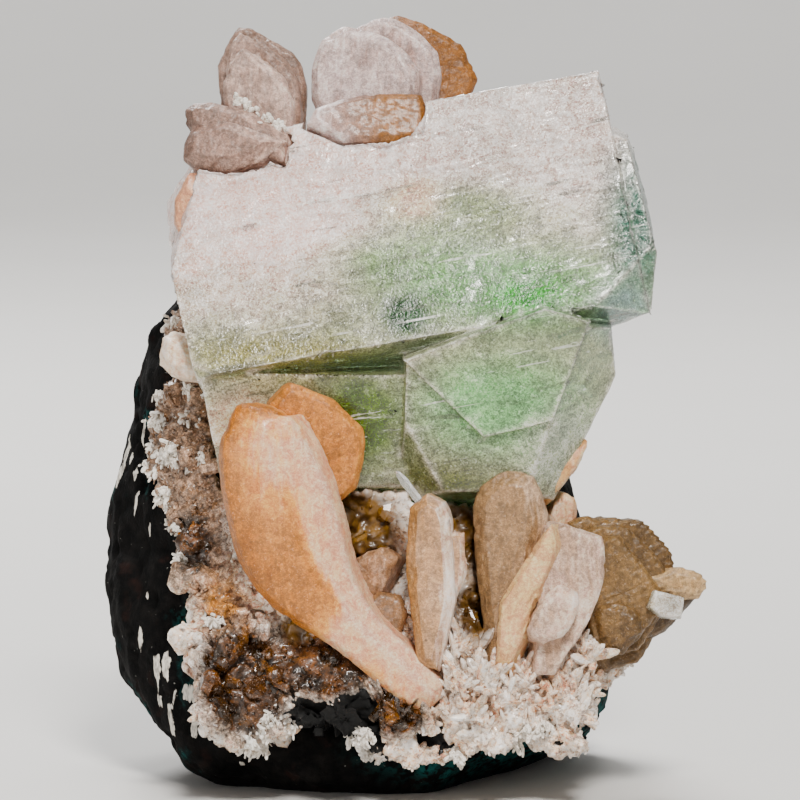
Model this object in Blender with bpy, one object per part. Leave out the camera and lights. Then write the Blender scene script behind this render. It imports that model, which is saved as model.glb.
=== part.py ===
"""A cluster of green apophyllite crystals with stilbite blades, on a lump of dark basalt.

Lengths are in millimetres and become metres where a mesh is made. X runs to the right, Y away from the
viewer and Z up, and the lump stands on its flat underside at Z = 0. Every crystal is a block cut by flat
faces: a face has the direction in which it looks and its distance from the crystal's centre.
"""

import math
import random

import bmesh
import bpy
from mathutils import Matrix, Vector, noise

MM = 0.001
GAP = 0.35  # clearance kept between neighbouring pieces
RAW_BLOCK = 160.0  # side of the block that a crystal is cut from
SMALLEST_EDGE = 0.08  # corners of a crystal that are closer than this become one

# The large apophyllite: a square prism lying on its side, with one edge towards the viewer
PRISM_CENTRE = (1.0, 4.0, 63.6)
PRISM_SIDE = 31.0
PRISM_AXIS = (90.0, 10.0)  # yaw and pitch of the long axis: it rises to the right
RIDGE_PITCH = -17.0  # the edge towards the viewer looks slightly down
PYRAMID_ANGLE = 60.3  # between a pyramid face's normal and the long axis, in this mineral
PYRAMID_REACH = 29.4  # centre to the pyramid face that cuts the ridge's right end
LAYER_STEP = 0.25  # how far the last growth layer stands proud of the crystal's right end

# The basalt lump and the zeolite crust on its front
ROCK_CENTRE = (-4.0, 8.0, 25.0)
ROCK_ROUNDNESS = 12.0  # how sharply the broken faces of the rock meet
ROCK_DETAIL = 4  # subdivisions of the ball that the rock starts from
CRUST_DETAIL = 5
CRUST_UPPER = 3.6  # thickness of the crust behind and above the blades
CRUST_LOWER = 10.0  # and at the blades' feet
CRUST_CLEARANCE = 0.5  # the crust ends this far above the ground
CAVITY = (-9.6, 9.6)  # x and z of the middle of the hollow low on the crust's front
CAVITY_HALF = (4.6, 3.4)  # its half width and half height
CAVITY_DEPTH = 10.0  # how strongly it thins the crust
SMALL_CRYSTALS = 62
SMALL_LENGTHS = (4.0, 8.5)  # shortest and longest of them
SMALL_SPACING = 3.4  # least distance between two of them
SMALL_CROWN = (-40, 35)  # lean of the two faces of their tips
CROWN_BEVEL = 0.8  # how far the bevels of a tip lean to its broad faces
SEED = 11

PEACH = (0.80, 0.55, 0.33)
PALE_GREEN = (0.62, 0.78, 0.62)
BASALT = (0.030, 0.034, 0.033)
CRUST = (0.74, 0.62, 0.50)


def look(yaw, pitch):
    """The unit vector that looks this way: yaw 0 at the viewer, yaw 90 right; pitch above the horizon."""
    yaw, pitch = math.radians(yaw), math.radians(pitch)
    return Vector((math.sin(yaw) * math.cos(pitch), -math.cos(yaw) * math.cos(pitch), math.sin(pitch)))


def material(name, colour, roughness, transmission=0.0):
    """A Principled surface, shared by the pieces that are made of the same thing."""
    made = bpy.data.materials.get(name)
    if made is None:
        made = bpy.data.materials.new(name)
        made.use_nodes = True
        surface = made.node_tree.nodes["Principled BSDF"]
        surface.inputs["Base Color"].default_value = (*colour, 1.0)
        surface.inputs["Roughness"].default_value = roughness
        surface.inputs["Metallic"].default_value = 0.0
        surface.inputs["Transmission Weight"].default_value = transmission
        made.diffuse_color = (*colour, 1.0)
    return made


def object_from(name, bm, collection):
    """Turns a bmesh in millimetres into an object in metres."""
    bmesh.ops.scale(bm, vec=(MM, MM, MM), verts=bm.verts)
    bmesh.ops.recalc_face_normals(bm, faces=bm.faces)
    mesh = bpy.data.meshes.new(name)
    bm.to_mesh(mesh)
    bm.free()
    made = bpy.data.objects.new(name, mesh)
    collection.objects.link(made)
    return made


def cut_crystal(centre, faces, grow=0.0):
    """A raw block cut by each face in turn: faces is a list of (normal, distance from the centre). The
    skin is then drawn again over the corners that are left, which closes it."""
    bm = bmesh.new()
    bmesh.ops.create_cube(bm, size=RAW_BLOCK)
    centre = Vector(centre)
    bmesh.ops.translate(bm, verts=bm.verts, vec=centre)
    for normal, distance in faces:
        everything = bm.verts[:] + bm.edges[:] + bm.faces[:]
        point = centre + normal * (distance + grow)
        cut = bmesh.ops.bisect_plane(bm, geom=everything, plane_co=point, plane_no=normal, clear_outer=True)
        rim = [edge for edge in cut["geom_cut"] if isinstance(edge, bmesh.types.BMEdge)]
        if rim:
            bmesh.ops.contextual_create(bm, geom=rim)
    bmesh.ops.remove_doubles(bm, verts=bm.verts, dist=SMALLEST_EDGE)
    bmesh.ops.delete(bm, geom=bm.edges[:] + bm.faces[:], context="EDGES_FACES")
    hull = bmesh.ops.convex_hull(bm, input=bm.verts)
    inner = {item for key in ("geom_interior", "geom_unused") for item in hull[key]}
    bmesh.ops.delete(bm, geom=[v for v in inner if isinstance(v, bmesh.types.BMVert)], context="VERTS")
    bmesh.ops.dissolve_limit(bm, angle_limit=math.radians(0.4), verts=bm.verts, edges=bm.edges)
    return bm


def main_prism(upper_part, grow=0.0):
    """The large apophyllite: four prism faces, the basal end on the right, the pyramid faces that cut the
    prism's edges there, and a bluntly broken left end. It is two bodies that are joined later: the upper
    part is the last growth layer and ends sooner on the right, which leaves a step in the outline."""
    axis = look(*PRISM_AXIS)
    ridge = look(0.0, RIDGE_PITCH)
    ridge = (ridge - axis * ridge.dot(axis)).normalized()
    top = axis.cross(-ridge).normalized()
    half = PRISM_SIDE / 2

    def tilted(angle, towards):
        angle = math.radians(angle)
        return axis * math.cos(angle) + towards * math.sin(angle)

    faces = [
        ((ridge + top).normalized(), half),
        ((ridge - top).normalized(), half),
        ((-ridge + top).normalized(), half),
        ((-ridge - top).normalized(), half),
        (tilted(PYRAMID_ANGLE, ridge), PYRAMID_REACH),
        (tilted(PYRAMID_ANGLE, -ridge), PYRAMID_REACH + 1.0),
        (look(90.0, -67.0), 14.6),
        (tilted(-15.0, top), 27.9),
        (-tilted(6.0, top), 28.6),
        (-tilted(-30.0, top), 31.0),
        (-tilted(28.0, top), 30.0),
        (-tilted(PYRAMID_ANGLE, -ridge), 32.3),
        (-tilted(PYRAMID_ANGLE, ridge), 30.0),
    ]
    if upper_part:
        faces = [(normal, distance + LAYER_STEP) for normal, distance in faces]
        faces.append((tilted(2.3, top), 27.5))
    else:
        faces.append((tilted(6.7, top), 30.0))
        faces.append((look(90.0, 67.0), 25.9))
    return cut_crystal(PRISM_CENTRE, faces, grow)


def step_crystal(grow=0.0):
    """The smaller apophyllite in front of the large one's lower right side."""
    faces = [
        (look(2.0, -4.0), 12.7),
        (look(47.0, -16.0), 14.4),
        (look(90.0, 7.0), 16.3),
        (look(88.0, -27.0), 13.7),
        (look(-76.0, 67.0), 9.2),
        (look(60.0, 76.0), 12.4),
        (look(-86.0, 2.0), 11.1),
        (look(-44.0, -24.0), 16.2),
        (look(0.0, -72.0), 15.0),
        (look(180.0, 0.0), 14.0),
    ]
    return cut_crystal((9.5, -6.0, 50.0), faces, grow)


def lower_body(grow=0.0):
    """The part of the apophyllite below the ridge on the left, set back behind the step crystal."""
    faces = [
        (look(-4.0, -10.0), 12.6),
        (look(-88.0, -10.0), 16.1),
        (look(90.0, 0.0), 14.0),
        (look(-35.0, -38.0), 17.6),
        (look(0.0, 88.0), 3.4),
        (look(0.0, -70.0), 14.5),
        (look(180.0, -10.0), 12.0),
    ]
    return cut_crystal((-9.5, -3.6, 49.8), faces, grow)


def plate(outline, depth, facing, thickness, chamfer=0.6, back_chamfer=0.0, grow=0.0):
    """A flat crystal. outline holds the (x, z) corners of its front face, which is convex, goes through
    the given depth (y) at the corners' mean and looks towards facing. chamfer bevels the front's rim."""
    front = look(*facing)
    middle = Vector((sum(x for x, z in outline), 0.0, sum(z for x, z in outline))) / len(outline)
    middle.y = depth
    corners = []
    for x, z in outline:
        across = front.x * (x - middle.x) + front.z * (z - middle.z)
        corners.append(Vector((x, depth - across / front.y, z)))
    centre = middle - front * (thickness / 2)
    faces = [(front, thickness / 2), (-front, thickness / 2)]
    for first, second in zip(corners, corners[1:] + corners[:1]):
        side = (second - first).cross(front).normalized()
        distance = side.dot(first - centre)
        if distance < 0:
            side, distance = -side, -distance
        faces.append((side, distance))
        if chamfer:
            faces.append(((side + front).normalized(), (distance + thickness / 2 - chamfer) / math.sqrt(2)))
        if back_chamfer:
            reach = distance + thickness / 2 - back_chamfer
            faces.append(((side - front).normalized(), reach / math.sqrt(2)))
    return cut_crystal(centre, faces, grow)


def tablet(root, tip, width, thickness, facing, crown, round_top, chamfer, grow=0.0):
    """A tabular crystal from root to tip. facing is where its broad face looks, as yaw and pitch. The
    crown's faces lean by the given angles from the long axis, and touch a circle of radius round_top
    inside the tip."""
    root, tip = Vector(root), Vector(tip)
    along = (tip - root).normalized()
    half_length = (tip - root).length / 2
    across = along.cross(look(*facing)).normalized()
    front = across.cross(along).normalized()
    faces = [(front, thickness / 2), (-front, thickness / 2), (-along, half_length)]
    for side in (across, -across):
        faces.append((side, width / 2))
        for broad in (front, -front):
            bevel = (side + broad).normalized()
            faces.append((bevel, (width / 2 + thickness / 2) / math.sqrt(2) - chamfer))
    for angle in crown:
        angle = math.radians(angle)
        outward = along * math.cos(angle) + across * math.sin(angle)
        reach = (half_length - round_top) * math.cos(angle) + round_top
        faces.append((outward, reach))
        for broad in (front, -front):
            edge = outward + broad * CROWN_BEVEL
            distance = (reach + CROWN_BEVEL * thickness / 2) / edge.length - chamfer
            faces.append((edge.normalized(), distance))
    return cut_crystal((root + tip) / 2, faces, grow)


def piece(function, *values, **named):
    """A builder that waits for grow, so that a crystal can also cut room for itself in a neighbour."""

    def build(grow=0.0):
        return function(*values, grow=grow, **named)

    return build


def crystals():
    """Every crystal node in the order in which it claims its room: (name, kind, builders). A plate's
    outline holds corners that were measured in the photograph, in mm."""
    return [
        ("stilbite_rosette_top", "stilbite", [
            piece(plate, ((-12.5, 85.4), (-12.5, 89.3), (-11.5, 92.4), (-10.0, 93.8), (-8.5, 94.5),
                          (-6.0, 94.0), (-3.0, 93.1), (-0.5, 91.1), (1.0, 88.7), (0.6, 84.0),
                          (-2.0, 77.0), (-9.0, 77.0)),
                  2.2, (-10, 14), 4.6, chamfer=1.1, back_chamfer=0.9),
            piece(plate, ((-9.3, 89.9), (-7.3, 93.7), (-4.0, 95.4), (-1.8, 95.2), (1.3, 93.4),
                          (3.5, 91.0), (4.0, 88.0), (3.0, 83.0), (-2.0, 76.0), (-7.7, 78.0)),
                  4.4, (-2, 12), 5.2, chamfer=0.9, back_chamfer=1.2),
            piece(plate, ((-6.3, 91.1), (-4.0, 94.6), (-1.5, 95.5), (1.3, 94.8), (4.0, 93.4),
                          (6.5, 92.0), (7.8, 89.8), (8.7, 87.3), (6.3, 82.0), (0.0, 75.0),
                          (-5.5, 80.0)),
                  7.2, (8, 10), 5.4, chamfer=0.8, back_chamfer=1.6),
            piece(plate, ((-12.9, 82.7), (-11.9, 84.6), (-8.7, 85.7), (-4.7, 86.4), (1.5, 86.3),
                          (2.1, 84.6), (1.9, 81.0), (-2.7, 80.2), (-8.2, 80.5)),
                  -3.2, (2, 24), 9.0, chamfer=0.7),
        ]),
        ("stilbite_lobes_left", "stilbite", [
            piece(plate, ((-28.2, 82.7), (-28.2, 84.4), (-27.1, 85.3), (-25.1, 85.5), (-19.9, 84.2),
                          (-15.4, 81.4), (-15.9, 78.1), (-24.2, 80.5), (-27.4, 81.6)),
                  -2.6, (-10, 20), 5.6, chamfer=1.2, back_chamfer=1.4),
            piece(plate, ((-28.5, 78.4), (-28.5, 80.2), (-27.7, 82.0), (-26.0, 83.0), (-22.6, 83.5),
                          (-18.3, 82.1), (-15.6, 81.0), (-18.8, 78.4), (-23.1, 77.0), (-27.0, 77.3)),
                  -4.6, (-12, 18), 5.6, chamfer=1.6, back_chamfer=1.2),
        ]),
        ("apophyllite_crystals", "apophyllite", [
            piece(main_prism, False), piece(main_prism, True), step_crystal, lower_body,
            piece(plate, ((-1.0, 54.7), (16.4, 61.3), (22.4, 59.4), (17.5, 47.0), (9.0, 44.9),
                          (6.2, 47.5)),
                  -19.9, (2, -4), 3.0, chamfer=0.2),
        ]),
        ("stilbite_blade_large", "stilbite", [
            piece(plate, ((-23.5, 42.6), (-23.7, 45.0), (-23.0, 47.0), (-21.3, 49.0), (-18.8, 49.8),
                          (-16.8, 49.2), (-15.1, 47.4), (-13.6, 41.9), (-12.4, 35.9), (-11.4, 29.9),
                          (-10.8, 25.9), (-13.2, 24.5), (-17.3, 26.7), (-20.8, 30.8), (-22.9, 34.1),
                          (-23.6, 38.3)),
                  -24.0, (-25, 4), 8.4, chamfer=1.8, back_chamfer=1.6),
            piece(plate, ((-11.8, 23.1), (-10.4, 26.2), (-7.4, 26.2), (-3.9, 23.2), (0.2, 19.5),
                          (3.8, 15.4), (3.1, 12.6), (-0.8, 13.1), (-5.2, 16.8), (-9.1, 20.1)),
                  -25.2, (-22, 16), 7.0, chamfer=1.5),
            piece(plate, ((-17.1, 49.3), (-14.9, 51.7), (-13.2, 52.4), (-11.9, 52.3), (-9.3, 49.8),
                          (-7.1, 48.9), (-5.7, 47.2), (-5.3, 44.7), (-5.5, 42.0), (-6.4, 38.9),
                          (-8.8, 36.6), (-12.0, 35.4), (-15.2, 38.2), (-17.4, 44.0)),
                  -19.6, (8, 4), 5.4, chamfer=0.9, back_chamfer=0.7),
        ]),
        ("stilbite_blade_middle", "stilbite", [
            piece(plate, ((-0.6, 29.0), (-0.5, 33.2), (-0.2, 37.2), (0.9, 38.1), (1.8, 38.9),
                          (4.0, 37.8), (4.8, 35.7), (5.1, 30.9), (5.4, 26.0), (4.8, 22.8), (3.4, 17.0),
                          (0.6, 18.0)),
                  -25.2, (-6, 4), 5.6, chamfer=1.2, back_chamfer=0.8),
            piece(plate, ((3.6, 34.0), (8.4, 33.6), (8.5, 32.2), (7.7, 30.2), (7.2, 25.6), (7.5, 18.7),
                          (3.1, 18.7)),
                  -22.8, (10, 5), 4.2, chamfer=0.7),
        ]),
        ("stilbite_column", "stilbite", [
            piece(plate, ((7.8, 29.9), (7.5, 36.9), (8.3, 39.0), (9.8, 40.2), (11.3, 41.0),
                          (13.2, 41.0), (14.9, 40.4), (15.8, 38.5), (16.6, 35.5), (16.7, 31.8),
                          (15.9, 28.8), (13.7, 23.8), (11.5, 15.5), (9.4, 16.5)),
                  -21.2, (-4, 4), 8.6, chamfer=1.6, back_chamfer=1.2),
        ]),
        ("stilbite_blade_ribbed", "stilbite", [
            piece(plate, ((10.5, 25.3), (14.4, 31.8), (16.9, 35.1), (17.4, 32.3), (15.6, 26.7),
                          (13.7, 22.0), (11.7, 16.5), (10.0, 17.2)),
                  -24.4, (-20, 6), 4.4, chamfer=0.8),
        ]),
        ("stilbite_plate_right", "stilbite", [
            piece(plate, ((16.6, 34.7), (18.3, 35.1), (23.8, 33.1), (24.1, 29.9), (23.7, 25.1),
                          (21.8, 22.2), (19.3, 16.1), (15.4, 16.5), (15.6, 27.8)),
                  -22.2, (14, 6), 5.0, chamfer=0.5),
            piece(plate, ((18.3, 27.8), (20.4, 26.8), (20.8, 25.6), (20.1, 23.2), (18.8, 21.5),
                          (16.4, 20.7), (14.8, 21.3), (14.4, 22.4), (15.2, 24.5), (16.4, 26.3)),
                  -25.4, (6, 12), 5.2, chamfer=0.7),
        ]),
        ("stilbite_sheaf_right", "stilbite", [
            piece(plate, ((20.6, 29.0), (23.8, 32.4), (25.9, 32.9), (28.4, 29.5), (31.0, 26.2),
                          (30.7, 23.3), (28.3, 19.6), (24.6, 17.6), (22.1, 19.1)),
                  -17.2, (2, 4), 3.0, chamfer=0.5),
            piece(plate, ((20.2, 32.0), (22.9, 33.8), (26.8, 33.5), (30.1, 30.5), (31.9, 27.9),
                          (32.2, 25.4), (30.6, 21.5), (28.3, 18.1), (23.4, 17.4)),
                  -15.2, (6, 4), 3.2, chamfer=0.5),
            piece(plate, ((19.7, 34.0), (21.7, 34.7), (26.9, 34.3), (29.3, 34.0), (31.4, 31.5),
                          (32.5, 30.4), (32.9, 28.0), (32.1, 23.4), (29.9, 18.7), (28.4, 16.3),
                          (22.4, 15.1)),
                  -13.0, (10, 4), 5.0, chamfer=0.5, back_chamfer=1.0),
            piece(plate, ((27.3, 24.5), (31.8, 25.9), (35.8, 24.6), (36.2, 21.9), (34.6, 21.2),
                          (30.9, 19.0), (29.0, 16.9), (26.4, 17.4)),
                  -13.6, (12, -8), 4.6, chamfer=0.8, back_chamfer=0.8),
            piece(plate, ((29.0, 28.0), (33.0, 28.7), (36.0, 27.8), (36.8, 26.7), (36.6, 25.7),
                          (35.7, 24.5), (32.8, 24.5), (29.0, 25.4)),
                  -15.0, (4, 6), 4.2, chamfer=0.9, back_chamfer=0.9),
            piece(plate, ((22.3, 23.2), (23.3, 24.4), (25.8, 24.6), (28.2, 23.3), (28.5, 20.8),
                          (26.0, 18.0), (23.6, 18.2), (22.5, 21.6)),
                  -18.6, (-6, 2), 4.4, chamfer=0.9),
        ]),
        ("apophyllite_cube_small", "apophyllite", [
            piece(plate, ((29.4, 24.2), (30.1, 26.3), (33.9, 25.3), (33.4, 22.6), (30.9, 23.0)),
                  -18.9, (14, 10), 3.6, chamfer=0.3),
        ]),
        ("stilbite_blades_under", "stilbite", [
            piece(plate, ((15.7, 38.6), (18.0, 40.6), (21.2, 43.1), (22.6, 44.3), (22.3, 42.3),
                          (20.8, 40.4), (19.9, 38.5), (18.5, 36.1), (16.7, 35.2)),
                  -13.6, (20, -10), 3.4, chamfer=0.6),
            piece(plate, ((17.5, 34.4), (18.5, 37.0), (19.2, 37.4), (20.5, 36.7), (20.9, 35.8),
                          (20.6, 32.6), (20.0, 27.0), (17.6, 27.0)),
                  -12.2, (16, 0), 4.6, chamfer=0.7),
        ]),
        ("stilbite_blocks_low", "stilbite", [
            piece(plate, ((-7.9, 29.3), (-5.9, 31.0), (-3.5, 31.7), (-1.7, 30.6), (-2.0, 28.5),
                          (-3.5, 26.5), (-5.4, 22.5), (-8.6, 22.5)),
                  -20.0, (-14, 10), 5.6, chamfer=1.0),
            piece(plate, ((-6.1, 24.9), (-3.7, 26.5), (-0.8, 26.0), (-0.1, 23.6), (-1.5, 20.0),
                          (-4.9, 20.5)),
                  -21.6, (6, 16), 5.4, chamfer=0.6),
        ]),
        ("stilbite_fan_top_left", "stilbite", [
            piece(plate, ((-23.5, 85.3), (-23.5, 87.5), (-22.4, 90.2), (-21.1, 92.0), (-18.4, 90.3),
                          (-16.1, 88.3), (-15.0, 85.4), (-14.6, 77.0), (-20.5, 76.0)),
                  -0.6, (-14, 10), 4.0, chamfer=0.7),
            piece(plate, ((-23.2, 88.9), (-22.6, 92.1), (-21.4, 93.6), (-18.9, 92.4), (-15.8, 90.4),
                          (-14.2, 87.7), (-13.7, 84.0), (-13.9, 75.5), (-20.6, 75.7)),
                  1.4, (-8, 10), 4.2, chamfer=0.5),
            piece(plate, ((-24.2, 89.2), (-22.6, 92.7), (-21.6, 94.1), (-20.2, 94.3), (-17.2, 92.5),
                          (-14.9, 91.2), (-13.7, 89.6), (-13.0, 86.9), (-13.0, 83.8), (-13.4, 74.6),
                          (-20.0, 74.8), (-23.5, 82.3)),
                  4.0, (-2, 10), 5.0, chamfer=0.5, back_chamfer=1.2),
        ]),
        ("stilbite_edge_left", "stilbite", [
            piece(plate, ((-30.4, 71.4), (-29.6, 73.0), (-29.5, 76.6), (-28.2, 77.4), (-25.8, 73.0),
                          (-26.6, 68.6), (-29.0, 68.8)),
                  -4.6, (-30, 4), 5.0, chamfer=0.7, back_chamfer=0.8),
        ]),
        ("stilbite_knob_left", "stilbite", [
            piece(plate, ((-31.7, 54.8), (-31.1, 56.8), (-29.9, 57.7), (-27.9, 57.4), (-26.4, 55.2),
                          (-26.1, 52.8), (-27.6, 51.7), (-30.1, 52.0), (-31.5, 53.4)),
                  -12.0, (-20, 12), 7.0, chamfer=1.6, back_chamfer=1.2),
        ]),
    ]


ROCK_FACES = [  # yaw, pitch and distance of the broken faces that bound the basalt
    (0, 15, 19.8), (-42, 10, 26.8), (-80, 8, 35.5), (42, 16, 25.0), (82, 14, 26.0), (180, 6, 20.5),
    (-128, 2, 30.0), (134, 12, 26.0), (-70, 50, 50.0), (-120, 46, 42.0), (60, 52, 33.0), (150, 50, 37.0),
    (80, 75, 36.0), (0, -88, 27.0), (-100, -40, 33.0), (64, -42, 30.0), (-10, -46, 34.0), (170, -40, 30.0),
]

# The crust's outline as seen from the front: each line's inward normal, and a point that it goes through
CRUST_OUTLINE = [
    ((1.0, 0.0), (-35.4, 52.0)),
    ((0.957, 0.287), (-34.4, 42.0)),
    ((0.940, 0.345), (-26.6, 22.0)),
    ((0.0, 1.0), (-10.0, 6.6)),
    ((-0.275, 0.961), (7.5, 8.4)),
    ((-1.0, 0.0), (26.0, 18.0)),
    ((-0.877, -0.482), (25.0, 24.0)),
    ((0.0, -1.0), (-28.0, 68.0)),
]


def rock_reach(direction):
    """Distance from the rock's centre to its surface: the nearest broken face along this direction, with
    rounded edges between the faces, and lumps."""
    total = 0.0
    for yaw, pitch, distance in ROCK_FACES:
        closeness = look(yaw, pitch).dot(direction) / distance
        if closeness > 0:
            total += closeness ** ROCK_ROUNDNESS
    reach = total ** (-1 / ROCK_ROUNDNESS)
    lumps = 1.5 * noise.noise(direction * 3.1) + 0.8 * noise.noise(direction * 7.3)
    return reach + lumps


def smooth_step(value):
    value = min(1.0, max(0.0, value))
    return value * value * (3.0 - 2.0 * value)


def crust_depth(direction):
    """How thick the crust is in this direction: thickest low on the front, where the blades stand, thin
    above and on the left, with a hollow low on the front. It is negative where the rock is bare."""
    point = Vector(ROCK_CENTRE) + direction * rock_reach(direction)
    inside = min((point.x - x) * nx + (point.z - z) * nz for (nx, nz), (x, z) in CRUST_OUTLINE)
    inside = min(inside, 3.0 - point.y)
    inside += 1.6 * noise.noise(point * 0.27) + 1.0 * noise.noise(point * 0.71)
    hollow = ((point.x - CAVITY[0]) / CAVITY_HALF[0]) ** 2 + ((point.z - CAVITY[1]) / CAVITY_HALF[1]) ** 2
    inside -= CAVITY_DEPTH * math.exp(-hollow)
    full = CRUST_UPPER + (CRUST_LOWER - CRUST_UPPER) * smooth_step((30.0 - point.z) / 14.0)
    full *= 0.45 + 0.55 * smooth_step((point.x + 31.0) / 12.0)
    full *= 1.0 - 0.45 * smooth_step((point.x - 10.0) / 12.0)
    bumps = 0.9 * noise.noise(point * 0.19) + 1.2 * noise.noise(point * 0.52 + Vector((3, 1, 7)))
    return full * smooth_step(inside / 4.0) - 2.0 * smooth_step(-inside / 2.0 + 0.5) + bumps


def ball(centre, detail, reach):
    """A ball of triangles whose points are moved out to reach(direction) from the centre."""
    bm = bmesh.new()
    bmesh.ops.create_icosphere(bm, subdivisions=detail, radius=1.0)
    for vert in bm.verts:
        direction = vert.co.normalized()
        vert.co = Vector(centre) + direction * reach(direction)
    return bm


def stand_on_ground(bm, level=0.0):
    """Cuts everything below the level away and closes the cut."""
    everything = bm.verts[:] + bm.edges[:] + bm.faces[:]
    cut = bmesh.ops.bisect_plane(
        bm, geom=everything, plane_co=(0, 0, level), plane_no=(0, 0, -1), clear_outer=True
    )
    rim = [edge for edge in cut["geom_cut"] if isinstance(edge, bmesh.types.BMEdge)]
    if rim:
        bmesh.ops.contextual_create(bm, geom=rim)
    return bm


def basalt(grow=0.0):
    bm = ball(ROCK_CENTRE, ROCK_DETAIL, lambda direction: rock_reach(direction) + grow * 1.6)
    return bm if grow else stand_on_ground(bm)


def crust_body(grow=0.0):
    """The crust's own body, reaching inside the rock, which cuts it back to a skin later."""
    bm = ball(
        ROCK_CENTRE, CRUST_DETAIL, lambda direction: rock_reach(direction) + crust_depth(direction) + grow
    )
    return stand_on_ground(bm, CRUST_CLEARANCE)


def small_crystals(grow=0.0):
    """Stubby crystals scattered over the crust, each pointing more or less out of it."""
    draw = random.Random(SEED)
    together = bmesh.new()
    placed = []
    while len(placed) < SMALL_CRYSTALS:
        direction = look(draw.uniform(-75, 55), draw.uniform(-45, 45))
        depth = crust_depth(direction)
        point = Vector(ROCK_CENTRE) + direction * (rock_reach(direction) + depth)
        length = draw.uniform(*SMALL_LENGTHS)
        crowded = any((point - other).length < SMALL_SPACING for other in placed)
        if depth < 1.2 or point.z < 6.0 or crowded:
            continue
        placed.append(point)
        lean = Vector((draw.uniform(-0.9, 0.9), draw.uniform(-0.3, 0.4), draw.uniform(-0.2, 1.0)))
        out = (direction + lean).normalized()
        crystal = tablet(
            point - out * length * 0.5, point + out * length * 0.5, length * draw.uniform(0.34, 0.6),
            length * draw.uniform(0.24, 0.4), (draw.uniform(-60, 60), draw.uniform(-20, 40)),
            crown=SMALL_CROWN, round_top=length * 0.12, chamfer=length * 0.06, grow=grow,
        )
        copy = bpy.data.meshes.new("copy")
        crystal.to_mesh(copy)
        crystal.free()
        together.from_mesh(copy)
        bpy.data.meshes.remove(copy)
    return together


def apply_boolean(target, other, operation, overlapping=False):
    """Joins other to target or cuts it away, and keeps the result as target's own mesh. overlapping says
    that other holds bodies that run into each other."""
    step = target.modifiers.new(operation.title(), "BOOLEAN")
    step.operation = operation
    step.object = other
    step.solver = "EXACT"
    step.use_self = overlapping
    bpy.context.view_layer.update()
    graph = bpy.context.evaluated_depsgraph_get()
    mesh = bpy.data.meshes.new_from_object(target.evaluated_get(graph))
    target.modifiers.clear()
    target.data = mesh


def bounds(obj):
    corners = [obj.matrix_world @ Vector(corner) for corner in obj.bound_box]
    low = Vector(min(corner[i] for corner in corners) for i in range(3))
    high = Vector(max(corner[i] for corner in corners) for i in range(3))
    return low, high


def near(first, second):
    """True where the two objects' boxes touch."""
    (a_low, a_high), (b_low, b_high) = bounds(first), bounds(second)
    return all(a_low[i] <= b_high[i] and b_low[i] <= a_high[i] for i in range(3))


def keep_largest_body(obj):
    """Drops the crumbs that a cut leaves, and merges points closer than a hair."""
    bm = bmesh.new()
    bm.from_mesh(obj.data)
    bmesh.ops.remove_doubles(bm, verts=bm.verts, dist=0.004 * MM)
    bmesh.ops.dissolve_degenerate(bm, edges=bm.edges, dist=0.004 * MM)
    bodies, seen = [], set()
    for start in bm.verts:
        if start in seen:
            continue
        body, queue = [], [start]
        seen.add(start)
        while queue:
            vert = queue.pop()
            body.append(vert)
            for edge in vert.link_edges:
                other = edge.other_vert(vert)
                if other not in seen:
                    seen.add(other)
                    queue.append(other)
        bodies.append(body)
    bodies.sort(key=len)
    for body in bodies[:-1]:
        bmesh.ops.delete(bm, geom=body, context="VERTS")
    bm.to_mesh(obj.data)
    bm.free()


def finish_piece(obj, made_of):
    obj.data.materials.clear()
    obj.data.materials.append(made_of)
    obj.data.transform(obj.matrix_world)
    obj.matrix_world.identity()
    for polygon in obj.data.polygons:
        polygon.use_smooth = False


def centre_over_origin(pieces):
    """Moves the whole cluster sideways so that the middle of its box is over the origin, at Z = 0."""
    boxes = [bounds(obj) for obj in pieces]
    low = Vector(min(box[0][i] for box in boxes) for i in range(3))
    high = Vector(max(box[1][i] for box in boxes) for i in range(3))
    shift = Vector((-(low.x + high.x) / 2, -(low.y + high.y) / 2, -low.z))
    for obj in pieces:
        obj.data.transform(Matrix.Translation(shift))
    print("moved by", [round(value / MM, 3) for value in shift], "mm")


def build():
    for obj in list(bpy.data.objects):
        bpy.data.objects.remove(obj)
    cluster = bpy.data.collections.new("apophyllite cluster")
    cutters = bpy.data.collections.new("cutters")
    for made in (cluster, cutters):
        bpy.context.scene.collection.children.link(made)
    kinds = {
        "apophyllite": material("apophyllite", PALE_GREEN, 0.25, 0.4),
        "stilbite": material("stilbite", PEACH, 0.4),
        "crust": material("zeolite_crust", CRUST, 0.5),
        "basalt": material("basalt", BASALT, 0.85),
    }
    nodes = crystals()
    nodes.append(("basalt_matrix", "basalt", [basalt]))
    nodes.append(("zeolite_crust", "crust", [crust_body, small_crystals]))
    room, made = [], []
    for name, kind, builders in nodes:
        body = object_from(name, builders[0](), cluster)
        for builder in builders[1:]:
            other = object_from("joined", builder(), cutters)
            apply_boolean(body, other, "UNION", overlapping=builder is small_crystals)
            bpy.data.objects.remove(other)
        for cutter in room:
            if near(body, cutter):
                apply_boolean(body, cutter, "DIFFERENCE")
        keep_largest_body(body)
        finish_piece(body, kinds[kind])
        made.append(body)
        if name == nodes[-1][0]:
            break
        for builder in builders:
            cutter = object_from("room_for_" + name, builder(grow=GAP), cutters)
            cutter.hide_render = True
            cutter.display_type = "WIRE"
            room.append(cutter)
    for cutter in room:
        bpy.data.objects.remove(cutter)
    centre_over_origin(made)


build()
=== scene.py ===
# %% [markdown]
# # A cluster of apophyllite and stilbite on basalt
# The real thing is a hand specimen, about 95 mm tall. A pale green crystal of apophyllite lies across
# the top, blades of peach stilbite stand in front of it, and a sugary crust of zeolite joins both to a
# lump of black rock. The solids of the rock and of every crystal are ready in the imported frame, so this
# lesson gives each of them the skin and the finish of the mineral. We load the frame first and note its
# size.

# %% The frame
import itertools

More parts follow.
